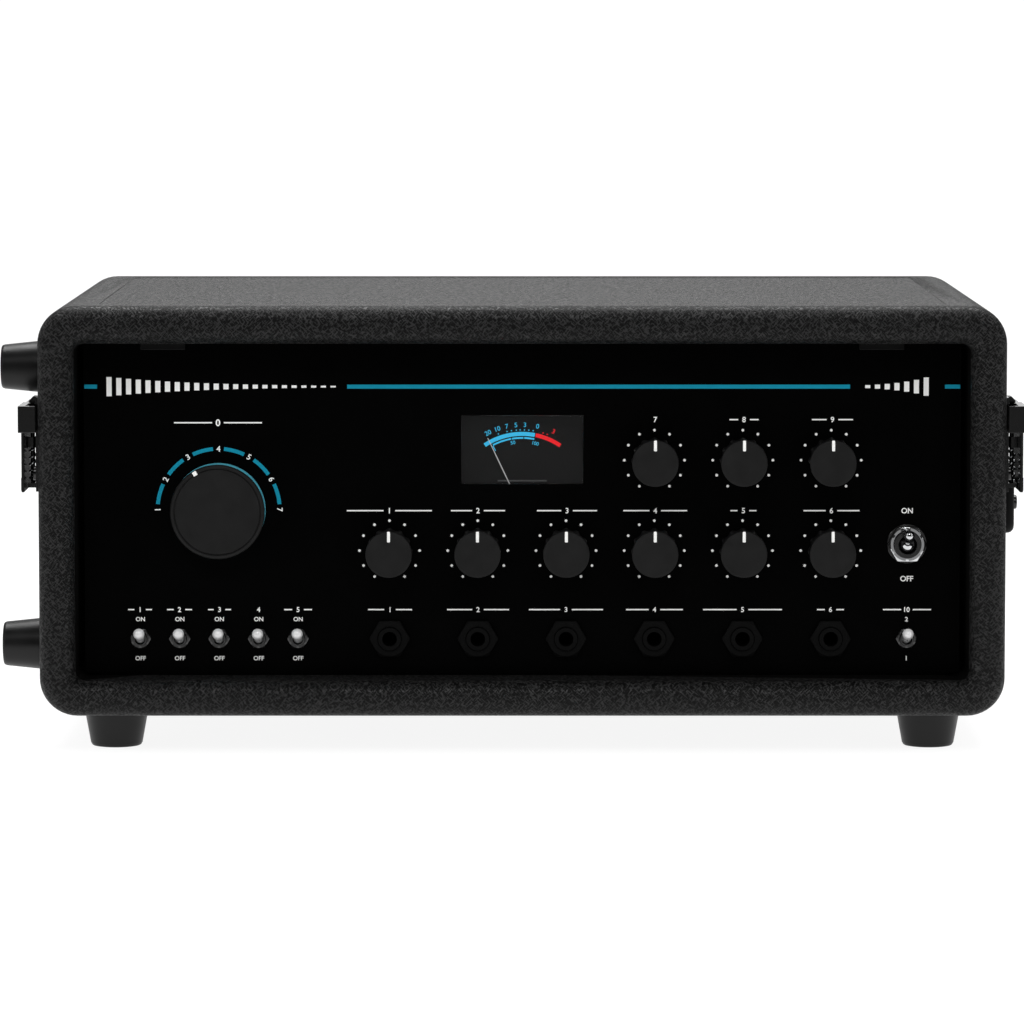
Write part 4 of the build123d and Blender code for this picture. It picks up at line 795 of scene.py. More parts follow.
# ------------------------------------------------------------------------------------ cabinet
@dataclass
class Cabinet:
    """The covered case, its hatch, hinge, tabs, tray and rear panel."""

    lining_low: tuple = (-200.0, 23.0, 15.0)
    lining_high: tuple = (200.0, 262.0, 174.8)
    underside: float = -0.5
    flange_x: float = 187.0
    flange_front: float = 19.0
    seat_h: float = 174.9
    hinge_d: float = 257.1
    leaf_d: float = 257.02
    covering_swell: tuple[float, float] = (0.77, 0.5)
    tray_lip_d: float = 27.0

    def close_seam(self, points: np.ndarray) -> np.ndarray:
        """Thickens the covering round the flange's sides and front, so that a hairline is left of the gap."""
        flange = (points[:, 2] > self.seat_h) & (points[:, 1] < self.hinge_d)
        wide = flange & (np.abs(points[:, 0]) > self.flange_x)
        points[:, 0] += np.where(wide, np.sign(points[:, 0]) * self.covering_swell[0], 0.0)
        points[:, 1] -= np.where(flange & (points[:, 1] < self.flange_front), self.covering_swell[1], 0.0)
        return points

    def build(self) -> None:
        """Makes the case, bare ply in its tunnel and on its ledges, and what closes it."""
        dress(
            "covered_case", "case_shell", (COVERING, LINING), 0.0, "case_covering",
            lambda f: f.within(self.lining_low, self.lining_high) | (f.h < self.underside),
        )
        dress(
            "covered_hatch", "top_hatch", (COVERING, LINING, BLACK_CHROMATE), 0.05, "case_covering",
            lambda f: np.where(f.d > self.leaf_d, 2, f.h < self.seat_h), bend=self.close_seam,
        )
        dress("hinge_leaf_and_pin", "hatch_hinge", (BLACK_CHROMATE,), 0.15, "black_nickel")
        dress("hatch_push_tabs", "hatch_tabs", (SMALL_COAT,), 0.3, "panel_paint")
        dress("folded_tray", "chassis_tray", (ZINC, SMALL_COAT), 0.4, "zinc_steel", lambda f: f.d < self.tray_lip_d)
        dress("tray_bolts", "chassis_bolts", (ZINC,), 0.3, "zinc_steel")
        dress("vented_rear_panel", "rear_panel", (SMALL_COAT,), 0.3, "panel_paint")
        dress("cross_head_screws", "case_screws", (BLACK_CHROMATE,), 0.15, "chrome")


@dataclass
class Feet:
    """Turned rubber feet with a lip at the base, hollowed for their screws: height, base and end radius."""

    bottom: tuple[float, float, float] = (17.0, 14.5, 11.4)
    side: tuple[float, float, float] = (18.5, 11.7, 9.8)
    pocket: float = 5.2
    floor: float = 5.0
    bottom_places: tuple = ((-183.0, 38.0), (-183.0, 247.0), (183.0, 38.0), (183.0, 247.0))
    side_places: tuple = ((38.0, 29.0), (38.0, 154.0), (247.0, 29.0), (247.0, 145.0))
    side_x: float = -215.0

    def foot(self, height: float, base: float, end: float) -> Surface:
        """A foot hanging down from z = 0: straight taper, rounded lips, a step round its end and a screw well."""
        t = np.linspace(0, pi / 2, 5)
        taper = [(-z, base + (end - base) * z / height) for z in np.linspace(0.9, height - 1.3, 8)]
        low = [(-(height - 1.2 + 1.2 * sin(a)), end - 1.2 * (1 - cos(a))) for a in t]
        profile = [(0, base - 0.7), (-0.25, base - 0.15)] + taper + low
        profile += [(-height, end - 2.6), (-height + 0.4, end - 3.0), (-height + 0.4, self.pocket + 0.6)]
        profile += [(-height + 0.9, self.pocket), (-self.floor, self.pocket)]
        return revolved(profile, 56)

    def build(self) -> None:
        """Makes both sets."""
        one = self.foot(*self.bottom)
        four = joined([one.moved(x, d, 0) for x, d in self.bottom_places])
        build_piece("rubber_feet_below", [(four, RUBBER)], "black_rubber", "bottom_feet")
        one = self.foot(*self.side).turned(Axis.D, 90)
        four = joined([one.moved(self.side_x, d, h) for d, h in self.side_places])
        build_piece("rubber_feet_at_side", [(four, RUBBER)], "black_rubber", "side_feet")


@dataclass
class Handle:
    """The strap handle on the right side and the caps that hold it."""

    wall_x: float = 215.0
    middle_d: float = 142.5
    middle_h: float = 91.0
    half_span: float = 65.0
    tuck: float = 3.0
    radius: float = 236.67
    centre_u: float = -224.4
    width: float = 24.0
    thickness: float = 3.5
    crown: float = 0.35
    line_at: float = 9.3
    cap_length: float = 28.0
    cap_width: float = 27.0
    cap_height: float = 7.5
    cap_round: float = 3.0

    def strap(self) -> Surface:
        """A flat band on an arc: at each angle the section's (across, up) is set on the arc's radius.

        The section is a rounded bar whose outer face swells a little in the middle and has a pressed line
        along each side.
        """
        section = rounded_rectangle(self.width / 2, self.thickness / 2, 1.5, 5)(0.0)
        ends = zip(section, np.roll(section, -1, axis=0))
        long = 8.0
        grown = np.concatenate(
            [np.linspace(a, b, 24, endpoint=False) if abs(a[0] - b[0]) > long else a[None] for a, b in ends]
        )
        across, up = grown[:, 0], grown[:, 1]
        line = np.exp(-((np.abs(across) - self.line_at) / 0.5) ** 2) * 0.4
        crown = self.crown * (1 - (across / (self.width / 2)) ** 2)
        up = up + np.where(up > self.thickness / 2 - 0.05, crown - line - self.crown, 0)
        reach = np.arcsin((self.half_span + self.tuck) / self.radius)
        a = np.linspace(-reach, reach, 61)[:, None]
        r = self.radius + up[None, :]
        x = self.wall_x + self.centre_u + r * np.cos(a)
        d = self.middle_d + r * np.sin(a)
        h = self.middle_h + across[None, :]
        return ring_form(np.stack(np.broadcast_arrays(x, d, h), axis=-1))

    def cap(self, sign: int) -> Surface:
        """A domed cap on the wall: a rounded rectangle drawn in towards its top, with a low raised rim."""
        outline = rounded_rectangle(self.cap_width / 2, self.cap_length / 2, 4.5, 7)
        levels = [(0.0, 0.3), (0.4, 0.0)] + eased(0.4, self.cap_height, 0.0, self.cap_round, 6)[4:]
        middle = self.middle_d + sign * (self.half_span + self.cap_length / 2)
        return stacked(outline, levels).turned(Axis.D, 90).moved(self.wall_x, middle, self.middle_h)

    def build(self) -> None:
        """Makes the strap and its caps."""
        build_piece("carrying_strap", [(self.strap(), STRAP)], "black_leather", "handle_strap")
        caps = joined([self.cap(-1), self.cap(1)])
        build_piece("strap_end_caps", [(caps, SMALL_COAT)], "panel_paint", "handle_end_caps")


@dataclass
class SideHooks:
    """The sprung hooks for a front cover on both sides."""

    pin_x: float = 218.9
    pin_d: float = 26.0
    spring_low: float = 102.8
    spring_high: float = 118.2
    spring_radius: float = 1.45
    wire: float = 0.5
    turns: float = 4.8
    tube: tuple[float, float] = (1.25, 2.05)

    def plain_tube(self, f: Faces) -> np.ndarray:
        """Faces of the plain tubes that stand for the coil springs."""
        r = np.hypot(np.abs(f.x) - self.pin_x, f.d - self.pin_d)
        level = (f.h > self.spring_low - 0.05) & (f.h < self.spring_high + 0.05)
        return (r > self.tube[0]) & (r < self.tube[1]) & level

    def build(self) -> None:
        """Makes plates, hooks and coil springs."""
        dress(
            "hook_plates_and_pins", "latch_bases", (BLACK_CHROMATE,), 0.3, "black_nickel", drop=self.plain_tube
        )
        dress("left_hook", "left_latch_hook", (BLACK_CHROMATE,), 0.35, "black_nickel")
        dress("right_hook", "right_latch_hook", (BLACK_CHROMATE,), 0.35, "black_nickel")
        wound = coil(self.spring_radius, self.wire, self.spring_high - self.spring_low, self.turns)
        pair = joined([wound.moved(s * self.pin_x, self.pin_d, self.spring_low) for s in (-1, 1)])
        build_piece("hook_coil_springs", [(pair, SPRING_STEEL)], "zinc_steel", sharp=60)


# ------------------------------------------------------------------------------------ controls
@dataclass
class SmallKnob:
    """A fluted knob with a plain front disc and a white pointer."""

    radius: float = 10.35
    front: float = 4.0
    back: float = 23.0
    cap: float = 2.6
    edge: float = 0.6
    flutes: int = 12
    flute_radius: float = 3.2
    flute_depth: float = 0.9
    hollow: float = 7.6
    pointer_width: float = 1.35
    pointer_start: float = 5.6

    def fluted(self, t: np.ndarray) -> np.ndarray:
        """Radius at an angle: the circle, or the near side of the flute's circle where that cuts deeper."""
        step = 2 * pi / self.flutes
        ring = self.radius - self.flute_depth + self.flute_radius
        off = (t % step) - step / 2
        under = np.maximum(self.flute_radius ** 2 - (ring * np.sin(off)) ** 2, 0)
        cut = np.where(np.abs(ring * np.sin(off)) < self.flute_radius, ring * np.cos(off) - np.sqrt(under), np.inf)
        return np.minimum(self.radius, cut)

    def parts(self) -> list[tuple[Surface, Finish]]:
        """The knob at the origin, its face towards the viewer."""
        length = self.back - self.front
        disc = polar(lambda t: self.radius + 0 * t, 96)
        cap = [(length - self.cap, 0.9), (length - self.cap, 0.12), (length - self.cap + 0.15, 0.0)]
        cap += eased(length - self.cap + 0.15, length, 0.0, self.edge, 5)[5:]
        face = stacked(disc, cap + [(length - 0.05, self.edge + 0.6), (length - 0.08, 4.0), (length - 0.1, 8.0)])
        skirt = stacked(
            polar(self.fluted, 144),
            [(0.6, self.radius - self.hollow), (0.0, 1.9), (0.0, 0.35), (0.35, 0.0), (length - self.cap, 0.0)],
        )
        mark = rounded_rectangle(self.pointer_width / 2, (self.radius - self.pointer_start) / 2, 0.3, 3)
        tip = stacked(mark, [(length - 0.4, 0.0), (length - 0.02, 0.0), (length + 0.05, 0.12)])
        tip = tip.moved(0, (self.radius - 0.12 + self.pointer_start) / 2, 0)
        return [(face, KNOB_ABS), (skirt, KNOB_SKIRT), (spindle(3.0), ZINC), (tip, POINTER)]

    def build(self, node: str, x: float, h: float) -> None:
        """Makes the knob of one node at x, h."""
        parts = [(s.to_front().moved(x, self.back, h), f) for s, f in self.parts()]
        build_piece(node + "_moulding", parts, "black_plastic", node, node)


def spindle(end: float) -> Surface:
    """The shaft that a knob sits on, reaching up z to its end."""
    return revolved([(-5.0, 3.0), (end, 3.0)], 32)


@dataclass
class SelectorKnob:
    """The large flat selector knob with its bevelled ring and square white mark."""

    place: tuple[float, float] = (-135.8, 90.7)
    radius: float = 21.15
    front: float = 11.0
    back: float = 23.0
    edge: float = 1.2
    face_radius: float = 19.5
    collar: float = 10.6
    collar_inside: float = 17.4
    mark_radius: float = 19.85
    mark_size: float = 1.95
    mark_angle: float = -30.0

    def build(self) -> None:
        """Turns the knob's profile over its collar: side, rounded edge, ring, groove and sunken face."""
        top = self.back - self.front
        t = np.linspace(0, pi / 2, 7)
        edge = [(top - self.edge * (1 - sin(a)), self.radius - self.edge * (1 - cos(a))) for a in t]
        side = [(self.collar, self.collar_inside), (self.collar, self.radius - 0.3), (self.collar + 0.2, self.radius)]
        rim = [(0.0, 0.1), (0.1, 0.0), (0.8, -0.05), (0.85, -0.5), (0.42, -0.55), (0.32, -0.7)]
        groove = [(top - drop, self.face_radius + out) for drop, out in rim]
        knob = revolved(side + edge + groove + [(top - 0.3, 14.0), (top - 0.34, 8.0), (top - 0.36, 3.0)], 128)
        # The shell over the knob's side next to the panel, painted cyan as a painted reflection of the teal arcs.
        ring = [(0.0, self.collar_inside), (0.0, self.radius - 0.4), (0.3, self.radius - 0.1)]
        ring += [(self.collar - 0.1, self.radius - 0.1), (self.collar, self.collar_inside)]
        mark = stacked(
            rounded_rectangle(self.mark_size / 2, self.mark_size / 2, 0.3, 4),
            [(top - 0.9, 0.0), (top - 0.04, 0.0), (top + 0.02, 0.1)],
        )
        mark = mark.moved(0, self.mark_radius, 0).turned(Axis.H, -self.mark_angle)
        parts = [(knob, KNOB_ABS), (revolved(ring, 128, closed=True), TEAL_REFLECTION_PAINT)]
        parts += [(spindle(self.collar + 0.5), ZINC), (mark, POINTER)]
        x, h = self.place
        parts = [(s.to_front().moved(x, self.back, h), f) for s, f in parts]
        build_piece("selector_moulding", parts, "black_plastic", "mode_knob", "mode_knob")


@dataclass
class Toggle:
    """A bat lever on its ball: neck, swelling and round tip."""

    neck: float
    neck_length: float
    tip: float
    length: float
    throw: float
    ball: float
    pivot_d: float
    finish: Finish

    def build(self, node: str, x: float, h: float) -> None:
        """Turns the lever's profile and leans it to its upper throw."""
        t = np.concatenate([np.linspace(-pi / 2, 0, 9)[:-1], np.linspace(0, radians(62), 7)])
        ball = [(self.ball * sin(a), self.ball * cos(a)) for a in t]
        start = max(ball[-1][0] + 0.4, self.neck_length * 0.8)
        run = self.length - self.tip - start
        bat = [(start + run * s, self.neck + (self.tip - self.neck) * s ** 0.85) for s in np.linspace(0, 1, 9)]
        round_tip = [
            (self.length - self.tip + self.tip * sin(a), self.tip * cos(a)) for a in np.linspace(0.15, pi / 2 - 0.02, 9)
        ]
        lever = revolved(ball + [(ball[-1][0] + 0.2, self.neck + 0.15)] + bat + round_tip, 40)
        lever = lever.turned(Axis.X, 90 - self.throw).moved(x, self.pivot_d, h)
        build_piece(node + "_lever", [(lever, self.finish)], "chrome", node, node, sharp=50)


COLUMNS = (-59.4, -19.9, 19.6, 59.1, 98.6, 138.1)
TOGGLES = (-171.14, -153.47, -135.8, -118.13, -100.46, 172.2)
UPPER_H, LOWER_H, JACK_H, STRIPE_H = 112.9, 72.3, 32.8, 145.86
KNOBS = {
    **{name: (x, LOWER_H) for name, x in zip(
        ("volume", "chorus_rate", "chorus_depth", "reverb_volume", "speed", "echo_volume"), COLUMNS)},
    **{name: (x, UPPER_H) for name, x in zip(("bass", "treble", "feedback"), COLUMNS[3:])},
}
# Numbers between thin rules: the first number of a row, its height, its size, and from where to where each goes.
CAPTIONS = (
    (1, 90.25, 2.5, ((-78.5, -40.4), (-31.9, -7.7), (6.6, 33.5), (45.2, 73.8), (93.1, 104.8), (125.8, 150.9))),
    (7, 131.1, 2.5, ((55.0, 64.0), (92.6, 105.6), (129.4, 147.8))),
    (1, 45.75, 2.3, ((-69.1, -49.4), (-33.7, -5.9), (3.0, 36.2), (46.5, 72.0), (81.0, 116.4), (132.1, 144.2))),
    (1, 45.75, 2.3, ((-176.6, -165.9), (-159.2, -148.0), (-140.8, -130.5), (-122.4, -113.9), (-106.7, -94.2))),
    (10, 45.75, 2.3, ((161.6, 183.2),)),
    (0, 129.7, 3.2, ((-155.6, -116.3),)),
)
# Words at the toggles: text, height of its letters, x and height on the panel.
WORDS = (
    *((text, 2.0, x, h) for x in TOGGLES[:5] for text, h in (("ON", 41.45), ("OFF", 23.85))),
    ("2", 2.1, TOGGLES[5], 41.45), ("1", 2.1, TOGGLES[5], 23.85),
    ("ON", 2.5, TOGGLES[5], 90.25), ("OFF", 2.5, TOGGLES[5], 59.7),
)


@dataclass
class ControlPanel:
    """The black panel with its printing and everything that sits in it."""

    face_d: float = 24.0
    back_d: float = 26.4
    ink_d: float = 23.96
    power_h: float = 75.4
    dot_ring: float = 13.45
    number_ring: float = 27.3
    arc: tuple[float, float] = (26.45, 28.15)
    arc_sweep: tuple[float, float] = (5.2, 24.8)
    bar_half: float = 1.15
    bar_pitch: float = 4.35

    def caption(self, ink: Print, text: str, size: float, x0: float, x1: float, h: float) -> None:
        """A plain number in the middle of a place, between two thin rules as long as the place allows."""
        middle, room = (x0 + x1) / 2, (x1 - x0) / 2
        ink.put(lettering(text, size, 0.02), middle, h)
        if room > 4.5:
            for sign in (-1, 1):
                near, far = sorted((sign * 2.6, sign * room))
                ink.put(band(near, far, -0.3, 0.3), middle, h)

    def bars(self, ink: Print, start: float, heights: Sequence[float]) -> None:
        """A row of upright bars on the stripe's line."""
        for k, tall in enumerate(heights):
            bar = band(-self.bar_half, self.bar_half, -tall / 2, tall / 2)
            ink.put(bar, start + self.bar_pitch * k, STRIPE_H)

    def print_white(self) -> None:
        """Dots round the knobs, numbers, rules, ON and OFF, and the bars at both ends of the stripe."""
        ink = Print("white_printing", INK_WHITE, self.ink_d)
        for place in KNOBS.values():
            for angle in range(-150, 151, 30):
                ink.put_round(dot(0.62), place, self.dot_ring, angle)
        for first, h, size, spans in CAPTIONS:
            for number, (x0, x1) in enumerate(spans, first):
                self.caption(ink, str(number), size, x0, x1, h)
        for text, size, x, h in WORDS:
            ink.put(lettering(text, size, 0.02), x, h)
        for number in range(7):
            angle = 30 * number - 90
            ink.put_round(lettering(str(number + 1), 2.6, 0.02), SelectorKnob.place, self.number_ring, angle, angle)
        self.bars(ink, -184.5, [8.6 * 0.9 ** k for k in range(24)])
        self.bars(ink, 154.3, [8.2 * 0.74 ** (6 - k) for k in range(7)])
        ink.finish_print()

    def print_teal(self) -> None:
        """The broken stripe across the top and the arcs between the selector's numbers."""
        ink = Print("teal_printing", INK_TEAL, self.ink_d)
        for x0, x1 in ((-195.6, -189.9), (-78.2, 146.4), (188.8, 195.6)):
            ink.put(band(x0, x1, -0.9, 0.9), 0.0, STRIPE_H)
        for start in range(-90, 90, 30):
            low, high = (start + part for part in self.arc_sweep)
            ink.put(arc_band(*self.arc, low, high), *SelectorKnob.place)
        ink.finish_print()

    def nuts(self) -> None:
        """The hexagon nuts of the switches and jacks, and the power switch's washer."""
        power_x = TOGGLES[5]
        small = hex_nut(8.6, 3.05, 2.0)
        washer = revolved([(0, 6.05), (0, 8.75), (0.15, 8.9), (0.75, 8.9), (0.9, 8.7), (0.9, 6.05)], 64, True)
        parts = [(small, BLACK_NICKEL, x, self.face_d, JACK_H) for x in TOGGLES]
        parts.append((washer, BLACK_NICKEL, power_x, self.face_d, self.power_h))
        parts.append((hex_nut(15.4, 6.05, 3.2, 96), CHROME, power_x, self.face_d - 0.9, self.power_h))
        parts = [(s.to_front().moved(*place), f) for s, f, *place in parts]
        build_piece("switch_nuts_and_washer", parts, "black_nickel", "switch_nuts", sharp=24)
        jack = hex_nut(16.0, 5.2, 3.0, 96)
        parts = [(jack.to_front().moved(x, self.face_d, JACK_H), NYLON) for x in COLUMNS]
        build_piece("jack_hexagons", parts, "black_plastic", "jack_nuts", sharp=24)

    def build(self) -> None:
        """Makes the panel and all its controls; what passes through the panel is plated or threaded in front."""

        def plated(f: Faces) -> np.ndarray:
            """Faces in front of the panel's back."""
            return f.d < self.back_d

        dress("control_panel_plate", "front_panel", (PANEL_COAT,), 0.2, "panel_paint")
        self.print_white()
        self.print_teal()
        self.nuts()
        dress("toggle_switch_bodies", "switch_bodies", (PHENOLIC, BLACK_NICKEL), 0.2, "black_plastic", plated)
        dress("jack_socket_bodies", "jack_bodies", (NYLON,), 0.25, "black_plastic")
        dress("potentiometers", "pot_bodies", (ZINC, THREAD), 0.2, "zinc_steel", plated)
        dress("rotary_switch", "mode_switch_body", (PHENOLIC, THREAD), 0.2, "black_plastic", plated)
        for name, (x, h) in KNOBS.items():
            SmallKnob().build(name + "_knob", x, h)
        SelectorKnob().build()
        mini = Toggle(1.6, 3.9, 2.5, 13.0, 17.0, 2.1, 22.7, SATIN_NICKEL)
        for name, x in zip(("direct", "motor", "overdub", "echo", "chorus", "output_level"), TOGGLES):
            mini.build(name + "_toggle", x, JACK_H)
        Toggle(1.6, 5.2, 2.3, 17.5, 20.0, 3.95, 21.0, CHROME).build("power_toggle", TOGGLES[5], self.power_h)


@dataclass
class LevelMeter:
    """The moving-coil meter: housing, dial with its printed scale, needle and window."""

    pivot_h: float = 93.95
    dial_d: float = 31.5
    needle_d: float = 29.5
    needle_angle: float = -28.5
    needle_length: float = 32.4
    needle_cant: float = 3.1
    arc_outer: float = 31.1
    dot_ring: float = 32.0
    upper_ring: float = 34.3
    lower_ring: float = 26.6
    bar_h: float = 103.75
    bar_half: float = 11.0

    def scale(self) -> None:
        """The blue and red scale: a broad arc, a thin arc inside with its end tick, numbers and dots."""
        blue = Print("meter_blue_scale", INK_BLUE, self.dial_d - 0.05)
        red = Print("meter_red_scale", INK_RED, self.dial_d - 0.05)
        # Each arc: its ink, how far in it starts and ends, its two angles and its steps.
        arcs = [(blue, 1.8, 0.0, -33.8, 10.8, 40), (red, 1.8, 0.0, 11.5, 34.4, 40), (blue, 5.6, 3.1, -28.4, -27.4, 3)]
        arcs += [(blue, 3.1, 2.35, *ends, 40) for ends in ((-27.6, -10.2), (-9.4, 1.0), (1.9, 11.0))]
        for ink, inner, outer, start, end, steps in arcs:
            ink.put(arc_band(self.arc_outer - inner, self.arc_outer - outer, start, end, steps), 0.0, self.pivot_h)
        numbers = (("20", -26.6), ("10", -18.7), ("7", -11.6), ("5", -4.8), ("3", 2), ("0", 11.6), ("3", 24.2))
        texts = [(text, 2.1, self.upper_ring, angle) for text, angle in numbers]
        texts += [("50", 1.6, self.lower_ring, -9), ("100", 1.6, self.lower_ring, 13)]
        pivot = (0.0, self.pivot_h)
        for text, size, radius, angle in texts:
            ink = red if angle > 20 else blue
            ink.put_round(lettering(text, size, 0.01), pivot, radius, angle, angle)
        for angle in (-19.5, -12.2, -8.7, -4.7, -1.7, 1.8, 5.3, 8.8, 17.0, 20.6):
            ink = red if angle > 12 else blue
            ink.put_round(dot(0.3, 10), pivot, self.dot_ring, angle)
        blue.finish_print()
        red.finish_print()

    def needle(self) -> None:
        """A flattened tube that tapers to its tip, canted a little on its turned hub."""
        length = self.needle_length
        blade = stacked(
            rounded_rectangle(0.26, 0.16, 0.1, 3),
            [(0.0, 0.0), (length * 0.5, 0.03), (length - 0.4, 0.1), (length, 0.14)],
        )
        blade = blade.moved(h=-length).turned(Axis.D, self.needle_cant).moved(h=length)
        hub = revolved([(-1.2, 1.9), (-1.0, 2.3), (-0.6, 2.4), (0.8, 2.4), (1.1, 2.2), (1.2, 1.8)], 40).to_front()
        whole = [(blade, NEEDLE), (hub, PHENOLIC)]
        whole = [(s.turned(Axis.D, self.needle_angle).moved(0, self.needle_d, self.pivot_h), f) for s, f in whole]
        build_piece("lacquered_needle", whole, "needle_paint", "meter_needle", "meter_needle")

    def slim(self, points: np.ndarray) -> np.ndarray:
        """Draws the bar at the dial's foot together to a thin line that lies a little lower."""
        across = (np.abs(points[:, 0]) < self.bar_half + 0.1) & (points[:, 1] < self.dial_d + 0.05)
        h = points[:, 2] - self.bar_h
        points[:, 2] = np.where(across & (np.abs(h) < 0.6), self.bar_h - 0.7 + 0.55 * h, points[:, 2])
        return points

    def build(self) -> None:
        """Makes the meter."""
        dress("meter_case_moulding", "meter_housing", (PHENOLIC,), 0.2, "black_plastic")
        dress(
            "meter_dial_card", "meter_dial", (DIAL_CARD, DIAL_BAR), 0.1, "dial_card",
            lambda f: f.d < self.dial_d - 0.02, bend=self.slim,
        )
        dress("meter_window_pane", "meter_window", (WINDOW,), 0.2, "meter_glass")
        self.scale()
        self.needle()


# ------------------------------------------------------------------------------------ inside
@dataclass
class TapeDeck:
    """The endless-loop deck under the hatch."""

    head_x: tuple = (-110.0, -80.0, -45.0, -10.0, 25.0)
    head_face_d: float = 118.3
    head_shoulder: float = 2.05
    gap_h: float = 124.2
    deck_h: float = 114.0
    screw_places: tuple = ((-175.0, 88.0), (-175.0, 246.0), (175.0, 88.0), (175.0, 246.0))

    def heads(self) -> None:
        """Heads with polished noses in black shields, each with the dark line of its gap."""
        dress(
            "tape_head_stack", "tape_heads", (BLACK_CHROMATE, MU_METAL), 0.3, "chrome",
            lambda f: f.d < self.head_face_d + self.head_shoulder,
        )
        line = stacked(rounded_rectangle(0.12, 3.6, 0.05, 2), [(-0.1, 0.0), (0.03, 0.0)]).to_front()
        lines = [line.moved(x, self.head_face_d, self.gap_h) for x in self.head_x]
        build_piece("head_gap_lines", [(joined(lines), PHENOLIC)], sharp=60)

    def screws(self) -> None:
        """Round-headed cross-slotted screws that hold the deck, each turned its own way; each slot is painted shade, a
        dark cross on the dome.
        """
        dome = [(0.0, 3.0)] + [(0.4 + 1.1 * sin(a), 3.0 * cos(a) + 0.001) for a in np.linspace(0, pi / 2, 6)]
        # The slot is a dark block set into the dome's top, not cut into it: painted shade where the slot's recess would
        # be.
        slot = stacked(rounded_rectangle(0.3, 2.2, 0.1, 2), [(1.2, 0.0), (1.53, 0.0)])
        screw = [(revolved(dome, 32), ZINC), (slot, PHENOLIC), (slot.turned(Axis.H, 90), PHENOLIC)]
        parts = [
            (s.turned(Axis.H, (20 + 33 * k) if f is PHENOLIC else 0).moved(x, d, self.deck_h), f)
            for k, (x, d) in enumerate(self.screw_places) for s, f in screw
        ]
        build_piece("deck_screws", parts, "zinc_steel")

    def build(self) -> None:
        """Makes the deck."""
        for name, node, finish, edge, slot in (
            ("brushed_deck_plate", "deck_plate", DECK_METAL, 0.3, "bright_aluminium"),
            ("oxide_tape_loop", "tape_loop", TAPE, 0.0, "magnetic_tape"),
            ("turned_tape_guides", "tape_guides", MU_METAL, 0.2, "bright_aluminium"),
            ("folded_tape_bin", "tape_bin", DECK_METAL, 0.3, "bright_aluminium"),
            ("clear_bin_cover", "tape_bin_cover", ACRYLIC, 0.4, "clear_acrylic"),
            ("capstan_and_flywheel", "capstan", MU_METAL, 0.2, "zinc_steel"),
            ("rubber_pinch_roller", "pinch_roller", BELT, 0.5, "black_rubber"),
            ("pinch_roller_arm", "pinch_arm", ZINC, 0.3, "zinc_steel"),
            ("motor_housing", "motor_can", ZINC, 0.2, "zinc_steel"),
            ("turned_motor_pulley", "motor_pulley", BRASS, 0.2, "brass"),
            ("flat_drive_belt", "drive_belt", BELT, 0.1, "belt_rubber"),
        ):
            dress(name, node, (finish,), edge, slot)
        self.heads()
        self.screws()


@dataclass
class Electronics:
    """Board, transformer, spring reverb and mains inlet."""

    spring_radius: float = 3.0
    wire: float = 0.4
    turns: int = 70
    spring_depths: tuple = (85.0, 104.0, 123.0)
    spring_h: float = 33.5
    tank_left: float = -166.8
    tank_right: float = 48.8
    board_top: float = 27.2
    board_back: float = 25.45
    can_d: float = 220.0
    can_top_h: float = 45.0
    package_d: float = 200.0
    toroid: tuple[float, float] = (122.0, 190.0)
    toroid_top: float = 53.45
    plate_radius: float = 24.5
    bolt_radius: float = 4.1
    pins: tuple = ((131.0, 249.6, 44.0), (149.0, 259.9, 58.0))

    def board_look(self, f: Faces) -> np.ndarray:
        """Board, sleeve, can top, package or stand-off by place."""
        places = [f.h < self.board_back, (f.h > self.board_top) & (f.d < self.package_d)]
        places += [(f.h > self.can_top_h) & (f.up > 0.9), (f.h > self.board_top) & (f.d > self.can_d)]
        return np.select(places, [4, 3, 2, 1])

    def toroid_look(self, f: Faces) -> np.ndarray:
        """The steel plate and bolt in the middle of the toroid."""
        r = np.hypot(f.x - self.toroid[0], f.d - self.toroid[1])
        return (f.h > self.toroid_top) & (r < self.plate_radius) | (r < self.bolt_radius)

    def build(self) -> None:
        """Makes the electronics: sleeves with bright tops, black packages, stand-offs, three long fine coils."""
        looks = (BOARD, SLEEVE, CAN_TOP, EPOXY, BRASS)
        dress("populated_board", "circuit_board", looks, 0.2, "board", self.board_look)
        length = self.tank_right - self.tank_left
        wound = coil(self.spring_radius, self.wire, length, self.turns, 5, 12).turned(Axis.D, 90)
        three = joined([wound.moved(self.tank_left, d, self.spring_h) for d in self.spring_depths])
        build_piece("reverb_coils", [(three, SPRING_STEEL)], "zinc_steel", "reverb_springs", sharp=80)
        dress("reverb_pan", "reverb_tank", (ZINC,), 0.3, "zinc_steel")
        dress(
            "wrapped_toroid", "transformer", (WINDING, ZINC), 0.2, "copper_winding", self.toroid_look, sharp=40
        )
        dress(
            "moulded_mains_inlet", "mains_inlet", (PHENOLIC, BRASS), 0.2, "black_plastic",
            lambda f: f.within(*self.pins),
        )


# ------------------------------------------------------------------------------------ studio
@dataclass
class Lamp:
    """One rectangular soft light, pointed at the part."""

    name: str
    place: tuple[float, float, float]
    size: tuple[float, float]
    power: float
    aim: tuple[float, float, float] = (0.0, 0.0, 0.1)

    def build(self) -> None:
        """Hangs the light and points it."""
        light = bpy.data.lights.new(self.name, "AREA")
        light.shape = "RECTANGLE"
        light.size, light.size_y = self.size
        light.energy = self.power
        holder = bpy.data.objects.new(self.name, light)
        bpy.context.scene.collection.objects.link(holder)
        holder.location = self.place
        run = np.array(self.aim) - np.array(self.place)
        tilt, heading = np.arctan2(np.hypot(run[0], run[1]), -run[2]), np.arctan2(-run[0], run[1])
        holder.rotation_euler = (float(tilt), 0.0, float(heading))


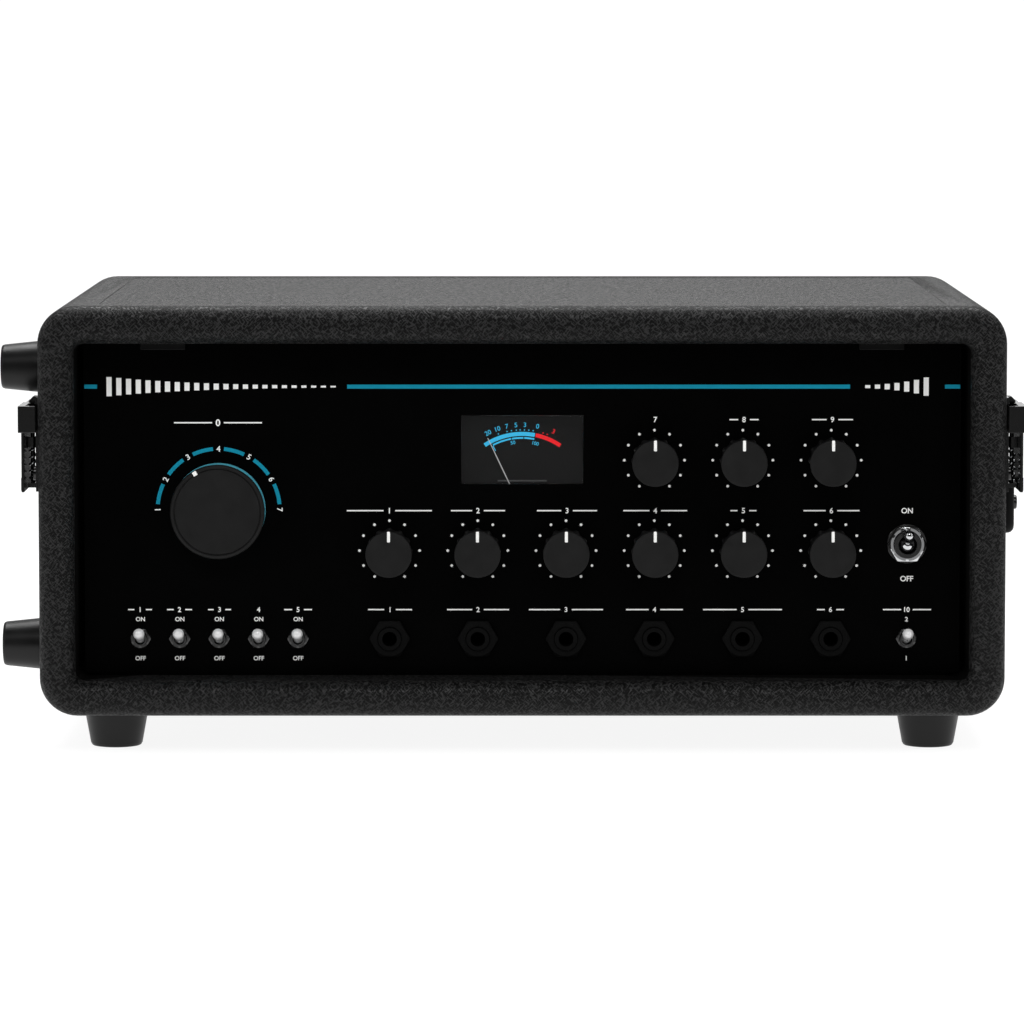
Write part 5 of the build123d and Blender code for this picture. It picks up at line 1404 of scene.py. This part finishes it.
@dataclass
class Studio:
    """White sweep, soft lamps and the camera."""

    camera_place: tuple[float, float, float] = (0.00225, -2.6843, 0.3360)
    look_down: float = 5.108
    lens: float = 202.4
    shift_x: float = -0.00999
    sweep_half: float = 6.0
    sweep_flat: float = 3.0
    mirrored: tuple = ((-0.62, 0.01), (-0.24, 0.85), (0.2, 0.85), (0.6, 0.06), (2.5, 0.06), (3.2, 0.9))
    mirrored_run: tuple[float, float] = (-1.0, 4.0)
    lamps: tuple = (
        Lamp("overhead_soft_box", (0.0, 0.45, 1.6), (1.5, 0.9), 26.0),
        Lamp("left_strip", (-1.2, -0.9, 0.7), (0.12, 1.0), 2.0),
        Lamp("right_strip", (1.2, -0.9, 0.7), (0.12, 1.0), 2.0),
        Lamp("front_fill", (0.0, -2.0, 1.65), (1.2, 0.6), 10.0),
    )

    def sweep(self) -> None:
        """A floor that curves up into a backdrop: along y flat, then a quarter circle, then upright."""
        t = np.linspace(0, pi / 2, 16)[1:]
        floor = np.stack((np.linspace(-self.sweep_half, self.sweep_flat, 40), np.zeros(40)), axis=-1)
        bend = np.stack((self.sweep_flat + np.sin(t), 1.0 - np.cos(t)), axis=-1)
        profile = np.concatenate([floor, bend, [(self.sweep_flat + 1.0, self.sweep_half)]])
        x = np.array((-self.sweep_half, self.sweep_half))[:, None]
        points = np.stack(np.broadcast_arrays(x, profile[None, :, 0], profile[None, :, 1]), axis=-1)
        mesh = bpy.data.meshes.new("white_sweep")
        mesh.from_pydata(points.reshape(-1, 3).tolist(), [], grid_quads(2, len(profile), False, False).tolist())
        mesh.materials.append(self.sweep_material())
        placed(mesh, (), 60, "white_sweep")

    def sweep_material(self) -> bpy.types.Material:
        """White paper: shown white to the camera, in mirrors and through glass, and lit plainly for the rest.

        In mirrors it is bright under the part and on the wall behind, and dark past the lamps and to the sides.
        """
        made = bpy.data.materials.new("matt_white_paper")
        made.use_nodes = True
        graph = Graph(made.node_tree)
        path = graph.node("LightPath").outputs
        seen = graph.math("MAXIMUM", path["Is Camera Ray"], path["Is Glossy Ray"])
        seen = graph.math("MAXIMUM", seen, path["Is Transmission Ray"])
        spot = graph.split(graph.node("TexCoord").outputs["Object"])
        start, end = self.mirrored_run
        stops = [((y - start) / (end - start), (level, level, level, 1.0)) for y, level in self.mirrored]
        along = graph.stops(graph.spread(spot["Y"], start, end), stops, "EASE")
        middle = graph.spread(graph.math("ABSOLUTE", spot["X"]), 0.35, 1.4, 1.0, 0.04, "SMOOTHSTEP")
        fade = graph.mix("FLOAT", path["Is Glossy Ray"], 1.0, graph.math("MULTIPLY", along, middle))
        glow = graph.out("Emission", {"Color": WHITE, "Strength": graph.math("MULTIPLY", fade, 0.9)})
        pale = graph.out("AddShader", {0: graph.out("BsdfDiffuse", {"Color": linear("#808080")}), 1: glow})
        plain = graph.out("BsdfDiffuse", {"Color": linear("#d8d8d8")})
        graph.node("OutputMaterial", {"Surface": graph.blend(seen, plain, pale)})
        return made

    def sky(self) -> None:
        """White where it is seen; in mirrors white behind and dark in front and beside; light from above."""
        world = bpy.data.worlds.new("studio_surround")
        bpy.context.scene.world = world
        world.use_nodes = True
        graph = Graph(world.node_tree)
        path = graph.node("LightPath").outputs
        way = graph.split(graph.node("TexCoord").outputs["Generated"])
        above = graph.spread(way["Z"], -0.2, 0.9, 0.4, 0.85, "SMOOTHSTEP")
        behind = graph.spread(way["Y"], -0.1, 0.7, 0.02, 0.8, "SMOOTHSTEP")
        plain, mirror, white = (
            graph.out("Background", {"Color": WHITE, "Strength": level}) for level in (above, behind, 1.0)
        )
        shiny = graph.math("MAXIMUM", path["Is Glossy Ray"], path["Is Transmission Ray"])
        seen = graph.blend(path["Is Camera Ray"], graph.blend(shiny, plain, mirror), white)
        graph.node("OutputWorld", {"Surface": seen})

    def camera(self) -> None:
        """A long lens level with the top of the case, looking slightly down."""
        lens = bpy.data.cameras.new("long_lens")
        lens.lens = self.lens
        lens.sensor_width = 36.0
        lens.shift_x = self.shift_x
        holder = bpy.data.objects.new("long_lens", lens)
        bpy.context.scene.collection.objects.link(holder)
        holder.location = self.camera_place
        holder.rotation_euler = (radians(90 - self.look_down), 0.0, 0.0)
        bpy.context.scene.camera = holder

    def build(self) -> None:
        """Sets up the studio."""
        self.sweep()
        self.sky()
        for lamp in self.lamps:
            lamp.build()
        self.camera()
        bpy.context.scene.view_settings.view_transform = "Standard"


def main() -> None:
    """Builds and dresses every sub-assembly, then the studio."""
    logging.basicConfig(level=logging.INFO, format="%(message)s")
    for part in (Cabinet, Feet, Handle, SideHooks, ControlPanel, LevelMeter, TapeDeck, Electronics, Studio):
        part().build()


if __name__ == "__main__":
    main()
